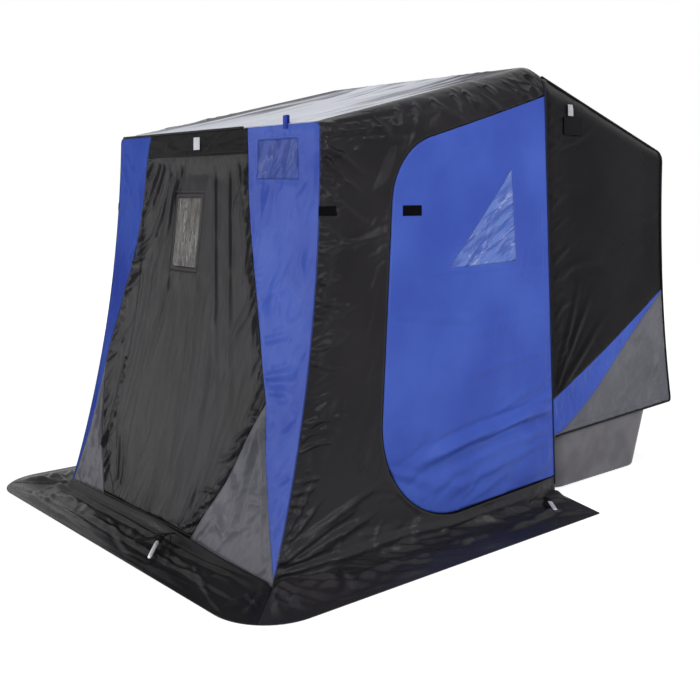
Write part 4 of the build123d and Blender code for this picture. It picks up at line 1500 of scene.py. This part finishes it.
def sweep(line, radius, sides=10):
    """Points and faces of a round cord along a line, closed at both ends."""
    line = np.asarray(line, float)
    radius = np.broadcast_to(radius, len(line))
    along = np.gradient(line, axis=0)
    along /= np.linalg.norm(along, axis=1, keepdims=True)
    side = np.cross(along[0], (0.3, 0.5, 0.8))
    points = [line[0]]
    for place, heading, r in zip(line, along, radius):
        side = side - heading * (side @ heading)
        side = side / np.linalg.norm(side)
        other = np.cross(heading, side)
        for turn in np.arange(sides) * 2 * math.pi / sides:
            points.append(place + r * (math.cos(turn) * side + math.sin(turn) * other))
    points.append(line[-1])
    last = len(points) - 1
    faces = []
    for k in range(sides):
        j = (k + 1) % sides
        faces.append((0, 1 + j, 1 + k))
        for ring in range(len(line) - 1):
            low, high = 1 + ring * sides, 1 + (ring + 1) * sides
            faces.append((low + k, low + j, high + j, high + k))
        faces.append((last, last - sides + k, last - sides + j))
    return points, faces


def cords(name, lines, radius, finish):
    """Cords sewn along seams, as one piece."""
    points, faces = [], []
    for line in lines:
        more, closed = sweep(line, radius)
        faces += [tuple(i + len(points) for i in face) for face in closed]
        points += more
    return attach(mesh_piece(name, points, faces, finish), "hut")


piping_radius, end_gap, eave_y, rear_hem_z = 0.0055, 0.018, 0.3095, 0.345
rear_a = np.linspace(front_cut + 0.045, front_cut + rear_cut, 60)
slope_b = wall_cut + 0.55 * corner_cut
slope_edge = side_surface(rear_a, np.full(60, slope_b))
rear_corner_line = side_surface(*rear_edge[
    (rear_edge[:, 1] > hem_line[-1, 1] + end_gap) & (rear_edge[:, 1] < top_cut - 0.05)
].T)
hem_end = hem_line[-1, 0]
hem_run = np.append(np.linspace(front_cut + end_gap, hem_end - end_gap, 40), hem_end)
hem_points = side_surface(hem_run, np.interp(hem_run, *hem_line.T))
bend = np.linspace(0, 1, 8)[:, None]
hem_bend = (
    (1 - bend) ** 2 * hem_points[-2] + 2 * bend * (1 - bend) * hem_points[-1]
    + bend**2 * rear_corner_line[0]
)
hem_and_corner = np.vstack([hem_points[:-2], hem_bend, rear_corner_line[1:]])
eave_x = np.linspace(-0.75, 0.28, 60)
eave_piping = roof_surface(eave_x, np.full(60, eave_y))
rear_hem_x = np.linspace(-1, 1, 60) * (rear_corner_line[0, 0] - 0.008)
rear_hem_line = rear_surface(rear_hem_x, np.full(60, rear_hem_z))
both_sides = [line * (sign, 1, 1) for line in (slope_edge, hem_and_corner) for sign in (1, -1)]
cords("seam_piping", [
    in_place(line) for line in (*both_sides, eave_piping, rear_hem_line)
], piping_radius, webbing)

# --- Seams ------------------------------------------------------------------------------------
# Lockstitched with a thread in the cloth's colour, a row along each side of most seams and
# round each window: blue on the blue panels, black on the others.
thread_pitch, stitch_length, stitch_width, stitch_height = 0.0086, 0.0060, 0.0015, 0.0012
thread_lift, beside, round_film, in_hem, strip_ends = 0.0005, 0.008, 0.007, 0.026, (0.16, 1.72)
threads = {
    "blue": plain_finish("blue_thread", "5468BE", "6B7ECD", 0.5, grain=500.0),
    "black": plain_finish("black_thread", "29282B", "343337", 0.5, grain=500.0),
}
rows = {(thread, body): [] for thread in threads for body in ("hut", "side_door")}
under = {"side": side_surface, "front": front_surface, "skirt": ice_surface}


def stitch(thread, panel, line, mirrored=False, body="hut"):
    """A row of stitches along a line on the cut of the surface that the panel lies on."""
    surface = under[panel.split("_")[0]]
    rows[thread, body].append(on_cloth(f"{panel}_cloth", surface, line, thread_lift, mirrored))


def side_box(low_y, high_y, low_z, high_z):
    """A rectangle on the side wall's cut, from its Y and Z."""
    y, z = np.array((low_y, high_y, high_y, low_y)), np.array((low_z, low_z, high_z, high_z))
    return side_cut(y, z)


def set_in(line, gap, trim=2):
    """The line moved to its left, without the ends that would run past the panel."""
    return grown(line, gap)[trim:-trim]


def closed(corners):
    return np.vstack([corners, corners[:1]])


def upright(a, low, high):
    """A straight row up the side's cut."""
    return np.stack([np.full(50, a), np.linspace(low, high, 50)], axis=-1)


flap_low, flap_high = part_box("vent_flaps")
for side, mirrored, _, _, door_body in sides:
    inward = np.array((-beside if mirrored else beside, 0))
    corner = corner_line[side]
    strip_row = seam_between(strip_seams[side], *strip_ends) + inward
    corner_row = corner[(corner[:, 1] > 0.14) & (corner[:, 1] < strip_ends[1])] - inward
    gusset_row = seam_between(gusset_seams[side], 0.02, apex[side] - 0.03) + inward
    surrounds = [
        side_box(flap_low.y + origin_y - gap, flap_high.y + origin_y + gap,
                 flap_low.z - gap, flap_high.z + gap)
        for gap in (0.010, 0.018)
    ]
    for thread, panel, line in (
        ("black", "side_front_panel", set_in(front_edge, -beside)),
        ("black", "side_front_panel", set_in(doorway_cut, -beside, 1)),
        ("blue", "side_door", set_in(door_cut, 0.009, 1)),
        *[("blue", "side_door", upright(front_cut - gap, 0.22, 1.78)) for gap in (0.012, 0.040)],
        ("black", "side_rear_panel", upright(front_cut + 0.012, 0.62, 1.86)),
        ("black", "side_rear_panel", set_in(upper_seam, beside, 1)),
        ("blue", "side_stripe", set_in(upper_seam, -beside, 1)),
        ("black", "side_lower_panel", set_in(hem_line, 0.030, 1)),
        ("black", "side_lower_panel", set_in(lower_seam, -beside, 1)),
        ("blue", "front_strip", strip_row),
        ("blue", "front_strip", corner_row),
        ("black", "front_gusset", gusset_row),
        ("black", "skirt", set_in(side_part, in_hem)),
        ("blue", "side_door", closed(taped_round(window_cut, round_film))),
        *[("black", "side_rear_panel", closed(surround)) for surround in surrounds],
    ):
        stitch(thread, f"{panel}_{side}", line, mirrored and not panel.startswith("front"),
               door_body if panel == "side_door" else "hut")
for panel, z in (("header", 1.641), ("header", 1.662), ("door", 1.622)):
    x = np.linspace(
        seam_x(strip_seams["left"], z) + 0.012, seam_x(strip_seams["right"], z) - 0.012, 60
    )
    stitch("black", f"front_{panel}", np.stack([x, np.full(60, z)], axis=-1))
stitch("blue", "front_strip_right", closed(taped_round(strip_film, round_film)))
stitch("black", "front_door", closed(taped_round(tape_outline, round_film)))
stitch("black", "skirt_front", set_in(front_outline[: len(front_part) * 2 - 1], in_hem))
for (thread, body), lines in rows.items():
    if lines:
        sewn_row(f"{thread}_stitches_{body}", lines, thread_pitch, stitch_length, stitch_width,
                 stitch_height, threads[thread], body)

# --- Patches and fittings ---------------------------------------------------------------------
# Webbing sewn on flat: a fastening patch on each door, a tie strap at each front corner, and a
# blue loop that stands up at the eave.
strap_webbing = plain_finish("strap_webbing", "040305", "08070A", 0.7, gloss=0.02, grain=400.0)
blue_webbing = plain_finish(
    "blue_webbing", "1E2E86", "2B3E9C", 0.5, gloss=0.1, grain=400.0, bump=0.001
)
webbing_net, webbing_clearance, ribbon_thickness = 0.006, 0.0004, 0.0018


def sewn_patch(name, panel, corners, thickness, finish, body="hut", mirrored=False):
    """A flat piece of webbing that lies on a draped panel of the side."""
    flat, faces, *_ = cut_panel(name, corners, (), webbing_net)
    found = found_on(panel, side_surface, flat, mirrored)
    points = np.array([
        spot + facing * (thickness + webbing_clearance) for spot, facing in found
    ])
    faces = face_out(points, faces, np.array([facing for _, facing in found]))
    piece = mesh_piece(name, points, faces, finish, flat)
    thicken(piece, "webbing_thickness", thickness)
    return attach(piece, body)


for side, mirrored, _, _, door_body in sides:
    sewn_patch(f"door_fastener_patch_{side}", f"side_door_{side}_cloth",
               side_box(0.722, 0.830, 1.378, 1.420), 0.0016, strap_webbing, door_body, mirrored)
    sewn_patch(f"corner_tie_strap_{side}", f"side_front_panel_{side}_cloth",
               side_box(0.286, 0.376, 1.384, 1.420), 0.0024, strap_webbing, mirrored=mirrored)


def ribbon(name, line, across, finish):
    """Webbing along a line, its width given by a vector."""
    line, across = in_place(line), np.array(across, float)
    points = np.vstack([line - across / 2, line + across / 2])
    count = len(line)
    faces = [(k, k + 1, count + k + 1, count + k) for k in range(count - 1)]
    piece = mesh_piece(name, points, faces, finish)
    thicken(piece, "webbing_thickness", ribbon_thickness, 0.0)
    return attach(piece, "hut")


loop_turn = np.linspace(0, math.pi, 9)
loop_line = [(0.577, 0.3035, 1.716), *[
    (0.577, 0.3095 - 0.006 * math.cos(t), 1.764 + 0.006 * math.sin(t)) for t in loop_turn
], (0.577, 0.3155, 1.722)]
ribbon("eave_loop", loop_line, (0.026, 0, 0), blue_webbing)

# --- Ice anchors ------------------------------------------------------------------------------
# A plated steel peg tied to the front skirt with a knotted loop of cord, and a flat plated bar
# under a webbing strap at the skirt's rear right corner.
plated_steel = plain_finish("plated_steel", "CDCFD3", "ECEDEF", 0.36, metallic=0.45, gloss=0.5)
cord_radius, bar_net, bar_height, bar_thickness = 0.0030, 0.006, 0.024, 0.003
peg_start, peg_end = np.array((0.335, -0.222, 0.020)), np.array((0.222, -0.118, 0.034))
peg_run = np.array((0, 0.03, 0.08, 0.2, 0.8, 0.92, 0.97, 1.0))
peg_line = in_place(peg_start + (peg_end - peg_start) * peg_run[:, None])
peg_radius = 0.0080 * np.array((0.35, 0.75, 0.95, 1, 1, 0.95, 0.75, 0.35))
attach(mesh_piece("ice_peg", *sweep(peg_line, peg_radius, 16), plated_steel), "hut")


def cord_loop(centre, first, second):
    """A closed loop of cord, from its middle and its two half widths."""
    centre, first, second = (np.array(v, float) for v in (centre, first, second))
    turn = np.linspace(0, 2 * math.pi, 40)[:, None]
    return in_place(centre + np.cos(turn) * first + np.sin(turn) * second)


cords("ice_peg_cord", [
    cord_loop((0.215, -0.112, 0.036), (0.010, 0.010, 0.004), (0, 0, 0.010)),
    cord_loop((0.200, -0.098, 0.040), (0.012, 0.012, 0.0), (0.003, -0.003, 0.011)),
    cord_loop((0.175, -0.060, 0.040), (0.034, 0.030, 0.006), (0.016, -0.016, 0.006)),
    cord_loop((0.235, -0.085, 0.034), (0.044, -0.030, -0.006), (0.010, 0.016, 0.004)),
    cord_loop((0.160, -0.135, 0.032), (-0.036, -0.040, -0.008), (0.014, -0.012, 0.002)),
], cord_radius, webbing)
bar_start, bar_end, bar_half = np.array((0.905, 1.605)), np.array((1.030, 1.500)), 0.010
bar_along = (bar_end - bar_start) / np.linalg.norm(bar_end - bar_start)
bar_across = np.array((-bar_along[1], bar_along[0]))
bar_outline = []
for centre, first in ((bar_end, -90), (bar_start, 90)):
    for degrees in range(first, first + 181, 15):
        swing = math.radians(degrees)
        outward = math.cos(swing) * bar_along + math.sin(swing) * bar_across
        bar_outline.append(centre + bar_half * outward)
lay_cloth("ice_anchor_bar", ice_surface, bar_outline, flat_drape, plated_steel, bar_net,
          inset=-bar_height, thickness=bar_thickness)
strap_line = [
    (0.872, 1.634, 0.016), (0.900, 1.610, 0.027), (0.925, 1.589, 0.028), (0.950, 1.566, 0.024),
    (0.970, 1.548, 0.014),
]
ribbon("ice_anchor_strap", strap_line, (0.020, 0.024, 0.0), webbing)
